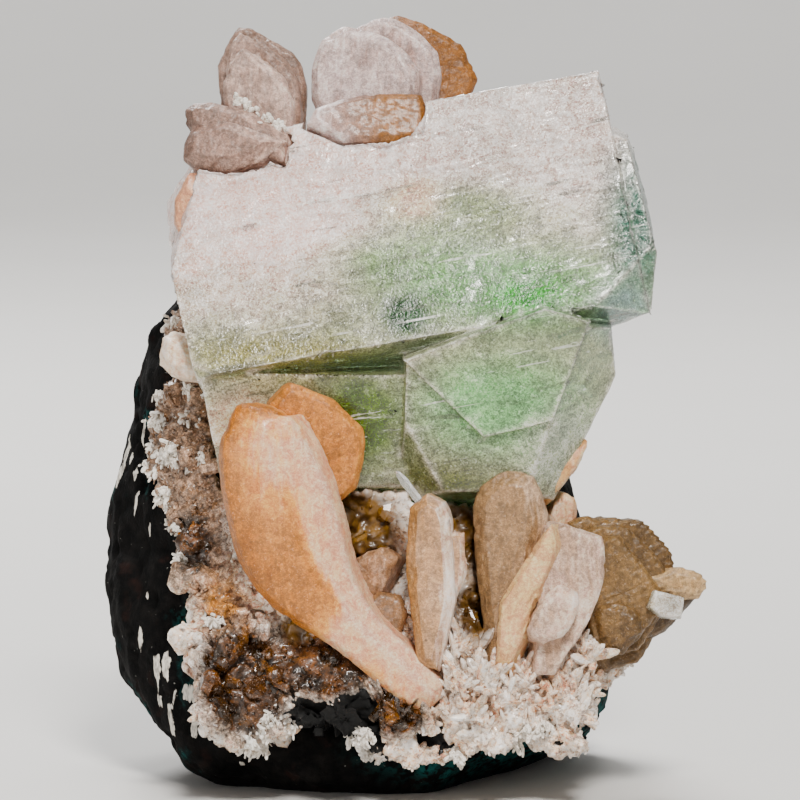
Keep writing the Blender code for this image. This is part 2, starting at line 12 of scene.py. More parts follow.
import bmesh
import bpy
import numpy as np
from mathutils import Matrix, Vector


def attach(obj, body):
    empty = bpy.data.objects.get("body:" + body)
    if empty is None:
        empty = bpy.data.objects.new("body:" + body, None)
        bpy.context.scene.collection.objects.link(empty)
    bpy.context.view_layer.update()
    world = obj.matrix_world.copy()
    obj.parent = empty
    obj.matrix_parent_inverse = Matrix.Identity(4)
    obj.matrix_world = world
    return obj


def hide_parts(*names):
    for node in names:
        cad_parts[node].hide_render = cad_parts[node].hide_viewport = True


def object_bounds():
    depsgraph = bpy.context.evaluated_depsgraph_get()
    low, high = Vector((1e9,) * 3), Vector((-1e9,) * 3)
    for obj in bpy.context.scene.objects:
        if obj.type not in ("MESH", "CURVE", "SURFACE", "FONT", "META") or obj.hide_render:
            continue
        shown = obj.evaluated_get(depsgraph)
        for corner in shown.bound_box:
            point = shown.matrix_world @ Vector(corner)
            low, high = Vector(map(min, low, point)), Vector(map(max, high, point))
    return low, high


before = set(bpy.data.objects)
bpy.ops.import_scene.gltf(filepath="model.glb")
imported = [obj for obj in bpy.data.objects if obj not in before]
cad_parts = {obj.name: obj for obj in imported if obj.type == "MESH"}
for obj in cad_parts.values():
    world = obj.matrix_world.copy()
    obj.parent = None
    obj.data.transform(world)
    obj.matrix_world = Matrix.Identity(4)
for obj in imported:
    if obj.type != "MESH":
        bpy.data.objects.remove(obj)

MM = 0.001
cad_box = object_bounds()
low_corner, high_corner = (np.array(corner) / MM for corner in cad_box)
print("solids:", len(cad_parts), "box in mm:", low_corner.round(1), high_corner.round(1))

# %% [markdown]
# ## Soft random clouds
# Nothing in a crystal is perfectly flat. A real face is etched, stepped and dusty, and all of that is
# irregular but never jumps. Random numbers at the corners of a lattice of cubes, blended smoothly
# between the corners, give such a field. Finer lattices on top add the small scale. The field is worked
# out for all points of a mesh at once, as arrays.

# %% Clouds
TURNED = np.array([[0.36, 0.48, -0.80], [-0.80, 0.60, 0.00], [0.48, 0.64, 0.60]])


def corner_values(cells, seed):
    """A number from -1 to 1 for each whole-numbered point of space, always the same one for that point:
    the three whole numbers are multiplied by large odd numbers, added and mixed bit by bit, and the last
    16 bits are read as a fraction."""
    mixed = cells @ np.array([374761393, 668265263, 1440662683]) + seed * 974711
    mixed = (mixed ^ (mixed >> 13)) * 1274126177
    mixed = mixed ^ (mixed >> 16)
    return (mixed & 0xFFFF) / 32767.5 - 1.0


def cloud(points, size, seed=0, layers=3):
    """A soft field of lumps of the given size in mm: the values at a cube's eight corners, each weighted
    by how near the point is to it. Every further layer has half the size and half the height. Its lattice
    is turned, so that no lattice lines show."""
    total, height = 0.0, 1.0
    for layer in range(layers):
        points = points @ TURNED
        cell = np.floor(points / size).astype(np.int64)
        part = points / size - cell
        part = part * part * (3 - 2 * part)
        for corner in itertools.product((0, 1), repeat=3):
            weight = np.prod(np.where(corner, part, 1 - part), axis=-1)
            total = total + height * weight * corner_values(cell + np.array(corner), seed + layer)
        size, height = size / 2, height / 2
    return total


some_points = np.array([[0.0, 1.0, 2.0], [5.0, 1.0, 2.0], [9.0, 4.0, 2.0]])
print("a cloud at three points:", cloud(some_points, 4.0).round(2))

# %% [markdown]
# ## Growth steps
# A crystal face grows in thin layers, and each layer stops a little short of the one below. So a face
# carries long low steps that run along it. A saw-toothed wave of the distance along one direction, bent
# by a cloud, gives that: it climbs slowly and drops at once.

# %% Steps
def growth_steps(points, across, width, seed, bend=0.9):
    """From 0 to 1: the distance across the steps in step widths, plus a cloud, with only its fraction kept.
    The last tenth of every step falls back to 0."""
    along = points @ np.array(across) / width + bend * cloud(points, width * 3.5, seed)
    part = along - np.floor(along)
    return np.where(part < 0.9, part / 0.9, (1.0 - part) / 0.1)


def smooth(value, low, high):
    """0 below low, 1 above high, and an S-shaped rise between them."""
    part = np.clip((value - low) / (high - low), 0.0, 1.0)
    return part * part * (3 - 2 * part)


print("steps at three points:", growth_steps(some_points, (1, 0, 0), 3.0, 1).round(2))

# %% [markdown]
# ## Points in and out of a mesh
# All shaping below happens in arrays of points, in millimetres. These helpers move the arrays into a
# mesh and out of it, measure how close each point is to an edge of the crystal, and relax a surface,
# which rounds it as weather and growth do.

# %% Array helpers
def points_of(mesh):
    flat = np.empty(len(mesh.vertices) * 3, np.float32)
    mesh.vertices.foreach_get("co", flat)
    return flat.reshape(-1, 3).astype(float) / MM


def normals_of(mesh):
    flat = np.empty(len(mesh.vertices) * 3, np.float32)
    mesh.vertices.foreach_get("normal", flat)
    return flat.reshape(-1, 3).astype(float)


def edges_of(mesh):
    flat = np.empty(len(mesh.edges) * 2, np.int32)
    mesh.edges.foreach_get("vertices", flat)
    return flat.reshape(-1, 2)


def put_points(mesh, points):
    """Writes the points back, kept inside the box of the solids."""
    inside = np.clip(points, low_corner, high_corner) * MM
    mesh.vertices.foreach_set("co", inside.astype(np.float32).ravel())
    mesh.update()


def put_values(mesh, name, values):
    """A named value at every point, which a material can read."""
    layer = mesh.attributes.new(name, "FLOAT", "POINT")
    layer.data.foreach_set("value", np.asarray(values, np.float32))


def edge_distance(points, edges):
    """Distance in mm from each point to the nearest straight edge: the point is dropped onto every edge
    in turn, no further than the edge's ends, and the shortest drop is kept."""
    nearest = np.full(len(points), np.inf)
    for start, end in edges:
        run = end - start
        share = np.clip((points - start) @ run / max(run @ run, 1e-9), 0.0, 1.0)
        nearest = np.minimum(nearest, np.linalg.norm(points - start - share[:, None] * run, axis=1))
    return nearest


def relax(points, edges, times, share=0.5):
    """Each point moves part of the way to the mean of its neighbours, the given number of times."""
    both = np.vstack([edges, edges[:, ::-1]])
    count = np.bincount(both[:, 0], minlength=len(points))[:, None]
    for _ in range(times):
        total = [np.bincount(both[:, 0], points[both[:, 1], axis], len(points)) for axis in range(3)]
        total = np.stack(total, 1)
        points = points + share * (total / count - points)
    return points


# %% [markdown]
# ## Two ways to copy a crystal
# A grid laid round a crystal would round off exactly what makes it a crystal: flat faces that meet in
# straight edges. So the skins of the apophyllite, the rock and the crust start from copies of the
# solids. The crisp copy keeps every face flat and only divides it finely, which suits glassy
# apophyllite. The soft copy is built again from small cubes of space and then relaxed, which suits the
# broken rock and the sugary crust.

# %% Crisp and soft copies
def merged_copy(node):
    """The solid's mesh, its loose triangles joined, and its convex edges as pairs of points in mm."""
    bm = bmesh.new()
    bm.from_mesh(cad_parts[node].data)
    bmesh.ops.remove_doubles(bm, verts=bm.verts, dist=0.001 * MM)
    bmesh.ops.dissolve_limit(bm, angle_limit=0.004, verts=bm.verts, edges=bm.edges)
    outer = [edge for edge in bm.edges if edge.is_convex and edge.calc_face_angle(0.0) > 0.25]
    edges = np.array([[corner.co for corner in edge.verts] for edge in outer]) / MM
    return bm, edges


def crisp_copy(node, longest):
    """Splits every edge that is longer than the limit at its middle, again and again."""
    bm, edges = merged_copy(node)
    bmesh.ops.triangulate(bm, faces=bm.faces)
    for _ in range(9):
        long_edges = [edge for edge in bm.edges if edge.calc_length() > longest * MM]
        if not long_edges:
            break
        bmesh.ops.subdivide_edges(bm, edges=long_edges, cuts=1)
        bmesh.ops.triangulate(bm, faces=[face for face in bm.faces if len(face.verts) > 3])
    mesh = bpy.data.meshes.new(node + "_skin")
    bm.to_mesh(mesh)
    bm.free()
    return mesh, edges


def soft_copy(node, cell, times):
    """Builds the surface again from cubes of the given size in mm and relaxes it."""
    bm, _ = merged_copy(node)
    coarse = bpy.data.meshes.new("coarse")
    bm.to_mesh(coarse)
    bm.free()
    holder = bpy.data.objects.new("holder", coarse)
    bpy.context.scene.collection.objects.link(holder)
    cubes = holder.modifiers.new("cubes", "REMESH")
    cubes.mode = "VOXEL"
    cubes.voxel_size = cell * MM
    graph = bpy.context.evaluated_depsgraph_get()
    mesh = bpy.data.meshes.new_from_object(holder.evaluated_get(graph))
    mesh.name = node + "_skin"
    bpy.data.objects.remove(holder)
    put_points(mesh, relax(points_of(mesh), edges_of(mesh), times))
    return mesh


def show(name, mesh, finish, slot, *nodes, rounded=True):
    """Makes the mesh a piece: it stands for the nodes, rides on the body and takes the given finish.
    Its shading is rounded, or flat for small crystals. The slot is not used."""
    mesh.polygons.foreach_set("use_smooth", np.full(len(mesh.polygons), rounded))
    mesh.materials.clear()
    mesh.materials.append(finish)
    piece = bpy.data.objects.new(name, mesh)
    bpy.context.scene.collection.objects.link(piece)
    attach(piece, "root")
    if nodes:
        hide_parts(*nodes)
    triangles = sum(len(polygon.vertices) - 2 for polygon in mesh.polygons)
    print(name, "has", triangles, "triangles")
    return piece


# %% [markdown]
# ## A small language for materials
# A finish is a net of nodes. Written out one by one they are hard to read, so a small class wraps a
# socket: when two wires are added or multiplied in Python, the Math node that does it appears in the
# material. Colours are blended by one method, and another method adds any other kind of node.

# %% Wires
class Wire:
    """A value inside a material. A sum of wires adds the Math node for it."""

    def __init__(self, socket):
        self.socket = socket

    def math(self, operation, *values):
        node = self.socket.id_data.nodes.new("ShaderNodeMath")
        node.operation = operation
        for place, value in zip(node.inputs, values):
            plug(value, place)
        return Wire(node.outputs[0])

    def __add__(self, other):
        return self.math("ADD", self, other)

    def __sub__(self, other):
        return self.math("SUBTRACT", self, other)

    def __rsub__(self, other):
        return self.math("SUBTRACT", other, self)

    def __mul__(self, other):
        return self.math("MULTIPLY", self, other)

    def __pow__(self, other):
        return self.math("POWER", self, other)

    __radd__, __rmul__ = __add__, __mul__

    def clamp(self):
        return self.math("MINIMUM", self.math("MAXIMUM", self, 0.0), 1.0)

    def rise(self, low, high):
        """0 below low, 1 above high, smooth between. With low above high it falls instead."""
        if low > high:
            return 1.0 - self.rise(high, low)
        node = self.socket.id_data.nodes.new("ShaderNodeMapRange")
        node.interpolation_type = "SMOOTHSTEP"
        for name, value in (("Value", self), ("From Min", low), ("From Max", high)):
            plug(value, node.inputs[name])
        return Wire(node.outputs[0])


def plug(value, place):
    """Links a wire to a socket, or sets the socket to a plain value."""
    if isinstance(value, Wire):
        place.id_data.links.new(value.socket, place)
    elif isinstance(value, tuple) and place.type == "RGBA":
        place.default_value = (*value[:3], 1.0)
    else:
        place.default_value = value


# %% [markdown]
# ## A finish
# Every finish starts the same way: an output, and the place of a point on the piece, from which all
# patterns are worked out. A colour is given as it looks, in steps of 0 to 255, and turned into the
# amount of light that it stands for.

# %% The finish class
def seen(red, green, blue):
    """The light behind a colour as it is seen on a screen."""
    part = np.array([red, green, blue]) / 255.0
    light = np.where(part <= 0.04045, part / 12.92, ((part + 0.055) / 1.055) ** 2.4)
    return tuple(float(value) for value in light)


class Finish:
    def __init__(self, name):
        self.material = bpy.data.materials.new(name)
        self.material.use_nodes = True
        self.tree = self.material.node_tree
        self.tree.nodes.clear()
        self.output = self.tree.nodes.new("ShaderNodeOutputMaterial")
        self.place = self.add("ShaderNodeTexCoord", {}, "Object")

    def add(self, kind, values, out=0, **settings):
        """Adds a node: its settings first, then the values or wires of its sockets."""
        node = self.tree.nodes.new(kind)
        for name, value in settings.items():
            setattr(node, name, value)
        for name, value in values.items():
            plug(value, node.inputs[name])
        return Wire(node.outputs[out])

    def value(self, name):
        """A value that was worked out for every point of the mesh."""
        return self.add("ShaderNodeAttribute", {}, "Fac", attribute_name=name)

    def blend(self, first, second, share):
        """From the first colour to the second as share goes from 0 to 1."""
        return self.add("ShaderNodeMix", {0: share, 6: first, 7: second}, 2, data_type="RGBA")

    def stretched(self, stretch):
        """The place on the piece in mm, squeezed along the axes by the given factors."""
        factors = tuple(value / MM for value in stretch)
        return self.add("ShaderNodeVectorMath", {0: self.place, 1: factors}, operation="MULTIPLY")

    def noise(self, size, detail=4.0, stretch=(1, 1, 1), warp=0.0):
        """A cloud with lumps of the given size in mm, from 0 to 1."""
        return self.add("ShaderNodeTexNoise", {
            "Vector": self.stretched(stretch), "Scale": 1.0 / size, "Detail": detail, "Distortion": warp,
        })

    def cells(self, size):
        """Distance from the nearest of many random places, which lie about size mm apart."""
        return self.add("ShaderNodeTexVoronoi", {
            "Vector": self.stretched((1, 1, 1)), "Scale": 1.0 / size,
        })

    def grain_and_glints(self, colour, size, much, painted_glints=0.0):
        """Grain and painted glints: a fine cloud lifts and dims the colour in proportion, which at the
        finest sizes also paints the flicker of tiny glints, and its crests go white, a painted highlight.
        """
        fine = self.noise(size, 2.0, (1.0, 0.9, 1.1), 1.2)
        colour = self.add("ShaderNodeMix", {0: much, 6: colour, 7: fine.rise(0.34, 0.66)}, 2,
                          data_type="RGBA", blend_type="OVERLAY")
        # the white crests are painted glints
        return self.blend(colour, (0.96, 0.95, 0.93), fine.rise(0.62, 0.72) * painted_glints)

    def streaks(self, along, across, long, wide, detail):
        """A cloud drawn out along one direction, as growth lines are. Its lumps are long by wide mm."""
        third = np.cross(along, across)
        ways = ((along, long), (across, wide), (third, wide))
        turned = self.add("ShaderNodeCombineXYZ", {
            number: self.along(tuple(np.array(way) / size)) for number, (way, size) in enumerate(ways)
        })
        return self.add("ShaderNodeTexNoise", {
            "Vector": turned, "Scale": 1.0, "Detail": detail, "Distortion": 0.3,
        })

    def along(self, direction):
        """Distance in mm along a direction, from the middle of the underside."""
        scaled = tuple(value / MM for value in direction)
        return self.add("ShaderNodeVectorMath", {0: self.place, 1: scaled}, "Value",
                        operation="DOT_PRODUCT")

    def spot(self, x, z, across, tall):
        """1 in the middle of a spot as it is seen from the front, 0 outside it. All numbers in mm."""
        shift = self.add("ShaderNodeVectorMath", {
            0: self.stretched((1 / across, 0, 1 / tall)), 1: (x / across, 0, z / tall),
        }, "Value", operation="DISTANCE")
        return shift.rise(1.0, 0.0)

    def bump(self, height, depth, under=None):
        """Fine relief: height from 0 to 1 stands for the given depth in mm."""
        values = {"Height": height, "Strength": 1.0, "Distance": depth * MM}
        if under:
            values["Normal"] = under
        return self.add("ShaderNodeBump", values)

    def surface(self, **sockets):
        """A Principled surface, with its sockets named in lower case."""
        names = [name.replace("_", " ").title().replace("Ior", "IOR") for name in sockets]
        return self.add("ShaderNodeBsdfPrincipled", dict(zip(names, sockets.values())))

    def close(self, shader, volume=None):
        plug(shader, self.output.inputs["Surface"])
        if volume:
            plug(volume, self.output.inputs["Volume"])
        return self.material


print("a warm white is", [round(value, 2) for value in seen(240, 228, 214)])

# %% [markdown]
# ## Apophyllite: the finish
# The big crystal is clear and faintly green, but it is full of milky veils and its faces are frosted. A
# look through it would show the rock behind. Two surfaces are mixed: a clear one that bends light as
# the mineral does (its index of refraction is 1.535) and soaks up red over the depth of the crystal,
# and a milky one in which light wanders. A cloud decides where each of them shows. The colours follow
# the real crystal: pinkish grey above, green bands along the ridge, olive at the left, teal at the
# right end.

# %% Apophyllite finish
LONG, RISING = (0.98, 0.0, 0.18), (-0.16, 0.46, 0.87)  # along the big crystal, and up its upper face


def apophyllite_finish():
    made = Finish("apophyllite")
    edge = made.value("edge")
    veil = made.noise(9.0, 3.0, (0.7, 1.0, 1.2), 0.5)
    wisp = made.noise(2.6, 5.0, (0.8, 1.0, 1.1), 0.9)
    lines = made.streaks(LONG, RISING, 16.0, 1.3, 5.0)
    height = made.along((-0.22, 0, 0.975)) + 12.0 * (veil - 0.5)
    upper = height.rise(55.0, 73.0)
    right = made.along((1.0, 0, 0.2)).rise(0.0, 28.0)
    white = made.blend(seen(238, 212, 204), seen(214, 198, 190), right)
    colour = made.blend(seen(164, 168, 130), white, upper)
    for x, z, across, tall, tint in (
        (33.5, 24.5, 5.0, 5.0, seen(206, 198, 186)),
        (7.0, 71.5, 16.0, 6.0, seen(150, 158, 116)),
        (1.5, 73.5, 5.5, 4.0, seen(210, 180, 150)),
        (2.0, 66.0, 17.0, 6.0, seen(140, 160, 112)),
        (13.0, 63.0, 24.0, 7.5, seen(92, 146, 72)),
        (15.0, 62.2, 7.0, 3.4, seen(30, 140, 12)),
        (0.4, 59.8, 5.5, 4.6, seen(2, 62, 2)),
        (-15.0, 54.5, 19.0, 4.6, seen(150, 142, 70)),
        (-5.0, 47.0, 8.5, 10.0, seen(86, 112, 18)),
        (29.6, 71.0, 7.5, 16.0, seen(16, 88, 68)),
        (27.0, 60.0, 6.0, 6.0, seen(116, 140, 138)),
        (12.0, 49.0, 15.0, 9.0, seen(136, 194, 124)),
        (20.0, 43.0, 9.0, 9.0, seen(184, 194, 168)),
        (4.0, 39.0, 10.0, 5.0, seen(118, 122, 66)),
        (-20.0, 46.0, 9.0, 8.0, seen(216, 190, 156)),
    ):
        colour = made.blend(colour, tint, (made.spot(x, z, across, tall) * (0.7 + 1.3 * wisp)).clamp())
    veils = ((wisp - 0.55) * 1.7 + (lines - 0.54) * 0.8 + edge * 0.9).clamp()
    colour = made.blend(colour, seen(240, 230, 222), veils * 0.6)
    cracks = lines.rise(0.42, 0.35) * made.noise(7.0).rise(0.45, 0.6)
    colour = made.blend(colour, seen(96, 94, 78), cracks * 0.6)
    hairs = made.streaks(LONG, RISING, 30.0, 0.5, 2.0).rise(0.64, 0.69)
    hairs = hairs * made.noise(8.0).rise(0.48, 0.62)
    colour = made.blend(colour, seen(250, 246, 240), hairs * 0.7)
    # fine grain with white crests on the apophyllite: painted glints
    colour = made.grain_and_glints(made.grain_and_glints(colour, 2.2, 0.25), 0.30, 0.50, 0.40)
    specks = made.cells(1.9).rise(0.11, 0.05) * made.noise(4.0).rise(0.56, 0.64)
    colour = made.blend(colour, seen(40, 38, 30), specks * 0.8)
    frost = (upper * 0.35 + (wisp - 0.5) * 1.0 + (veil - 0.5) * 1.0 + veils * 0.5 + 0.52).clamp()
    relief = made.bump(made.noise(0.34, 3.0), 0.10, made.bump(lines, 0.10))
    clear = made.surface(
        base_color=(0.90, 0.97, 0.88), roughness=0.08, ior=1.535, transmission_weight=1.0,
        normal=relief,
    )
    milky = made.surface(
        base_color=colour, roughness=0.24, ior=1.535, subsurface_weight=0.5, subsurface_scale=0.0014,
        subsurface_radius=(1.0, 1.0, 0.9), coat_weight=0.35, coat_roughness=0.06, normal=relief,
    )
    green = made.spot(15.0, 62.2, 7.0, 3.4) + made.spot(0.4, 59.8, 5.5, 4.6)
    share = (0.42 + 0.52 * frost + 0.4 * green).clamp()
    both = made.add("ShaderNodeMixShader", {0: share, 1: clear, 2: milky})
    depth = made.add("ShaderNodeVolumeAbsorption", {"Color": (0.50, 0.84, 0.46), "Density": 34.0})
    return made.close(both, depth)


apophyllite = apophyllite_finish()
print("apophyllite nodes:", len(apophyllite.node_tree.nodes))

# %% [markdown]
# ## Apophyllite: the skin
# The faces stay flat. Long ledges cross the upper face, the whole skin is etched by a fine cloud, and
# the edges are worn: points within half a millimetre of an edge sink a little, more where a cloud says
# that a chip is missing. All of it goes inwards, so the crystal never outgrows its solid.

# %% Apophyllite skin
def crystal_skin(node, longest, ledge, ledge_width, ledge_across, etch, wear, seed):
    """Each point sinks along its normal by ledges + etching + wear: the ledges are a wave of growth
    steps, the etching is a cloud, and the wear fades with distance from the nearest edge."""
    mesh, edges = crisp_copy(node, longest)
    points, normals = points_of(mesh), normals_of(mesh)
    near = edge_distance(points, edges)
    chips = smooth(cloud(points, 2.4, seed), 0.1, 1.0)
    patches = smooth(cloud(points, 12.0, seed + 5), -0.5, 0.6)
    sink = ledge * growth_steps(points, ledge_across, ledge_width, seed) * patches
    sink = sink + etch * (1.0 + 0.5 * cloud(points, 1.3, seed + 9) + cloud(points, 9.0, seed + 7, 2))
    sink = sink + np.clip(1.0 - near / 0.55, 0.0, 1.0) ** 2 * (wear + 3.0 * wear * chips)
    put_points(mesh, points - normals * sink[:, None])
    put_values(mesh, "edge", np.exp(-near / 0.5))
    return mesh


CRYSTALS = (
    # node, longest edge of the mesh, ledge height, ledge width, across the ledges, etching, wear, seed
    ("apophyllite_crystals", 0.66, 0.30, 4.6, RISING, 0.11, 0.09, 3),
    ("apophyllite_cube_small", 0.3, 0.05, 1.0, (0.25, -0.45, 0.86), 0.03, 0.06, 8),
)
for node, *settings in CRYSTALS:
    show(node + "_skin", crystal_skin(node, *settings), apophyllite, "apophyllite", node)

# %% [markdown]
# ## Stilbite: the finish
# Stilbite is pearly and lets light in a little way, so it glows orange where it is thick and looks
# white where it is thin or frosted. Light that wanders under the skin does most of that. The colour
# goes from a deep tint to a pale one with a cloud, streaked along the blade, and whitens towards the
# edges. Each crystal gets its own pair of tints.

# %% Stilbite finish
def stilbite_finish(name, deep, pale, rim):
    made = Finish(name)
    edge = made.value("edge")
    patch = made.noise(6.0, 4.0)
    lines = made.noise(1.2, 5.0, (1.8, 1.8, 0.3), 0.3)
    grain = made.noise(0.45, 5.0)
    # the tone, read from the skin, carries a painted sheen where the faces look right
    share = (made.value("tone") + (patch - 0.5) * 0.7 + (lines - 0.5) * 0.5).clamp()
    colour = made.blend(deep, pale, share)
    frosting = (edge * 0.5 + (share - 0.72) * 2.4 + (lines - 0.58) * 0.5).clamp()
    colour = made.blend(colour, rim, frosting)
    # fine grain with white crests on the stilbite: painted glints
    colour = made.grain_and_glints(made.grain_and_glints(colour, 1.5, 0.22), 0.32, 0.26, 0.12)
    specks = made.cells(2.6).rise(0.13, 0.05) * made.noise(5.0).rise(0.55, 0.65)
    colour = made.blend(colour, seen(60, 40, 22), specks * 0.8)
    relief = made.bump(lines, 0.18, made.bump(grain, 0.12))
    body = made.surface(
        base_color=colour, roughness=0.32 + 0.3 * grain, ior=1.5, subsurface_weight=0.25,
        subsurface_scale=0.0007, subsurface_radius=(1.0, 0.74, 0.5), coat_weight=0.12,
        coat_roughness=0.12, normal=relief,
    )
    return made.close(body)


# %% [markdown]
# ## Stilbite: flat crystals
# A crystal is what is left between its faces. From its middle, the skin lies in each direction at the
# nearest face, so the distance to it is a plain minimum over the faces, and a high power mean in its
# place rounds the edges by a hair, as the real ones are. The directions are laid out as on a flat tin:
# out from the middle of the front, over the rim, and back in behind, so that the points are evenly
# spaced. Where crystals of a group run into each other, their skins simply cross, as if they had grown
# together.

# %% Flat crystals
SHIFT = np.array([0.899, -0.429, 0.0])  # the whole cluster was moved by this to stand over the origin
SPACING = 0.36  # mm between the points of a grid


def unit(vectors):
    return vectors / np.linalg.norm(vectors, axis=-1, keepdims=True)


def look(yaw, pitch):
    """The unit vector that looks this way: yaw 0 at the viewer, yaw 90 to the right, pitch upwards."""
    yaw, pitch = np.radians(yaw), np.radians(pitch)
    return np.array([np.sin(yaw) * np.cos(pitch), -np.cos(yaw) * np.cos(pitch), np.sin(pitch)])


def between_faces(pull, power, fade):
    """pull is the cosine to each face / its distance. Reach = (sum of pull ** power) ** (-1 / power).
    Also how near the point is to an edge, where the two nearest faces compete. It fades over fade mm."""
    reach = (pull**power).sum(-1) ** (-1.0 / power)
    two = np.partition(pull, -2, axis=-1)[..., -2:]
    return reach, np.exp(-(1.0 - two[..., 0] / two[..., 1]) * reach / fade)


def tin_layout(radius, half):
    """Share of the radius and of the height along a line from the middle of the front, over the rim, to
    the middle of the back, in even steps."""
    out = np.linspace(0.0, 1.0, max(6, int(radius / SPACING)))
    rim = np.linspace(1.0, -1.0, max(5, int(2 * half / SPACING)))
    back = np.linspace(1.0, 0.0, max(5, int(radius / SPACING / 2.5)))
    share = np.concatenate([out, np.ones(len(rim) - 2), back])
    height = np.concatenate([np.ones(len(out)), rim[1:-1], -np.ones(len(back))])
    return share, height


def flat_crystal(outline, depth, facing, thickness, chamfer, back_chamfer):
    """The skin of a flat crystal: a grid of points, the nearness of an edge, and how far the face looks
    right at each. outline holds the (x, z) corners of the front face, which goes through the given depth
    and looks towards facing."""
    front = look(*facing)
    corners = np.array(outline, float)
    middle = corners.mean(0)
    lean = (corners - middle) @ front[[0, 2]] / front[1]
    corners = np.column_stack([corners[:, 0], depth - lean, corners[:, 1]])
    centre = corners.mean(0) - front * thickness / 2
    sides = unit(np.cross(np.roll(corners, -1, axis=0) - corners, front))
    reach = ((corners - centre) * sides).sum(1)
    sides, reach = sides * np.sign(reach)[:, None], np.abs(reach)
    normals = [front[None], -front[None], sides, unit(sides + front)]
    distances = [np.full(2, thickness / 2), reach, (reach + thickness / 2 - chamfer) / np.sqrt(2)]
    if back_chamfer:
        normals.append(unit(sides - front))
        distances.append((reach + thickness / 2 - back_chamfer) / np.sqrt(2))
    right = unit(np.cross(front, (0.0, 0.0, 1.0)))
    right = right * np.sign(right[0])
    up = unit(np.cross(right, front))
    wide, tall = (np.abs((corners - centre) @ way).max() for way in (right, up))
    radius = max(wide, tall)
    share, height = tin_layout(radius, thickness / 2)
    turn = np.linspace(0, 2 * np.pi, max(24, int(5.2 * radius / SPACING)), endpoint=False)
    ring = np.outer(np.cos(turn) * wide, right) + np.outer(np.sin(turn) * tall, up)
    directions = np.einsum("v,ux->vux", share, ring) + (height * thickness / 2)[:, None, None] * front
    directions, normals = unit(directions), np.vstack(normals)
    pull = np.maximum(directions @ normals.T, 0.0) / np.concatenate(distances)
    reach, edge = between_faces(pull, power=90.0, fade=0.55)
    turned = normals[pull.argmax(-1)][..., 0]
    return centre + SHIFT + directions * reach[..., None], edge, turned


small_plate = flat_crystal(((0, 0), (6, 0), (6, 8), (0, 8)), 0.0, (0, 0), 2.0, 0.6, 0.0)
print("a small plate has a grid of", small_plate[0].shape)

# %% [markdown]
# ## Joining grids into one piece
# Every grid starts and ends in a single point, its first and last row, and meets itself after one turn.
# The rows are joined by quads and the two ends by triangles, so the skin is closed. Several crystals go
# into one mesh, one after the other. The relief is then the same for all: growth steps that run along
# the crystal, a slow waviness and a fine grain.

# %% Grids to meshes
def closed_faces(rows, turns):
    """Quads between neighbouring rows, and triangles round the first and the last point."""
    index = np.arange((rows - 2) * turns).reshape(rows - 2, turns) + 1
    ahead = np.roll(index, -1, axis=1)
    quads = np.stack([index[:-1], index[1:], ahead[1:], ahead[:-1]], -1).reshape(-1, 4)
    last = (rows - 2) * turns + 1
    first_ring, last_ring = index[0], index[-1]
    start = np.stack([np.zeros(turns, int), first_ring, ahead[0]], -1)
    end = np.stack([np.full(turns, last), ahead[-1], last_ring], -1)
    return quads, start, end


def joined(name, grids, values):
    """One mesh out of closed grids. values holds the named values of every grid, as lists of arrays."""
    points, faces, kept, offset = [], [], {key: [] for key in values}, 0
    for number, grid in enumerate(grids):
        rows, turns = grid.shape[:2]
        keep = np.concatenate([[0], np.arange(turns, (rows - 1) * turns), [rows * turns - 1]])
        points.append(grid.reshape(-1, 3)[keep])
        for key in values:
            kept[key].append(values[key][number].reshape(-1)[keep])
        faces += [part + offset for part in closed_faces(rows, turns)]
        offset += len(keep)
    mesh = bpy.data.meshes.new(name)
    points = np.vstack(points)
    mesh.from_pydata(points * MM, [], [face for part in faces for face in part.tolist()])
    bm = bmesh.new()
    bm.from_mesh(mesh)
    bmesh.ops.recalc_face_normals(bm, faces=bm.faces)
    bm.to_mesh(mesh)
    bm.free()
    for key in values:
        put_values(mesh, key, np.concatenate(kept[key]))
    return mesh


def value_of(mesh, name):
    values = np.empty(len(mesh.vertices), np.float32)
    mesh.attributes[name].data.foreach_get("value", values)
    return values


def weathered(mesh, ribs, rib_width, across, seed):
    """Each point moves along its normal by wave + grain - ribs - chips: the wave is a wide cloud and the
    grain a fine one, the ribs are growth steps, and the chips break the edges here and there."""
    points, normals = points_of(mesh), normals_of(mesh)
    edge = value_of(mesh, "edge")
    rise = 0.09 * cloud(points, 6.5, seed, 2) + 0.06 * cloud(points, 0.9, seed + 3)
    ribbed = smooth(cloud(points, 6.0, seed + 4), -0.8, 0.3)
    rise = rise - ribs * growth_steps(points, across, rib_width, seed + 6, 0.45) * ribbed
    rise = rise - 0.30 * edge * smooth(cloud(points, 1.8, seed + 12), 0.3, 0.9)
    put_points(mesh, points + normals * rise[:, None])
    return mesh


# %% [markdown]
# ## The large blade and its stem
# The large blade in front is no flat plate but a tongue: it bends over into a stem that runs down to
# the right. That is a profile carried along a path. The path's points, half widths and half thicknesses
# follow the photograph, and the profile is again a set of faces, with a broad slanted one on the right,
# where the real blade shows a pale strip. That strip is painted pale, partly the blade's white and partly
# a painted sheen.

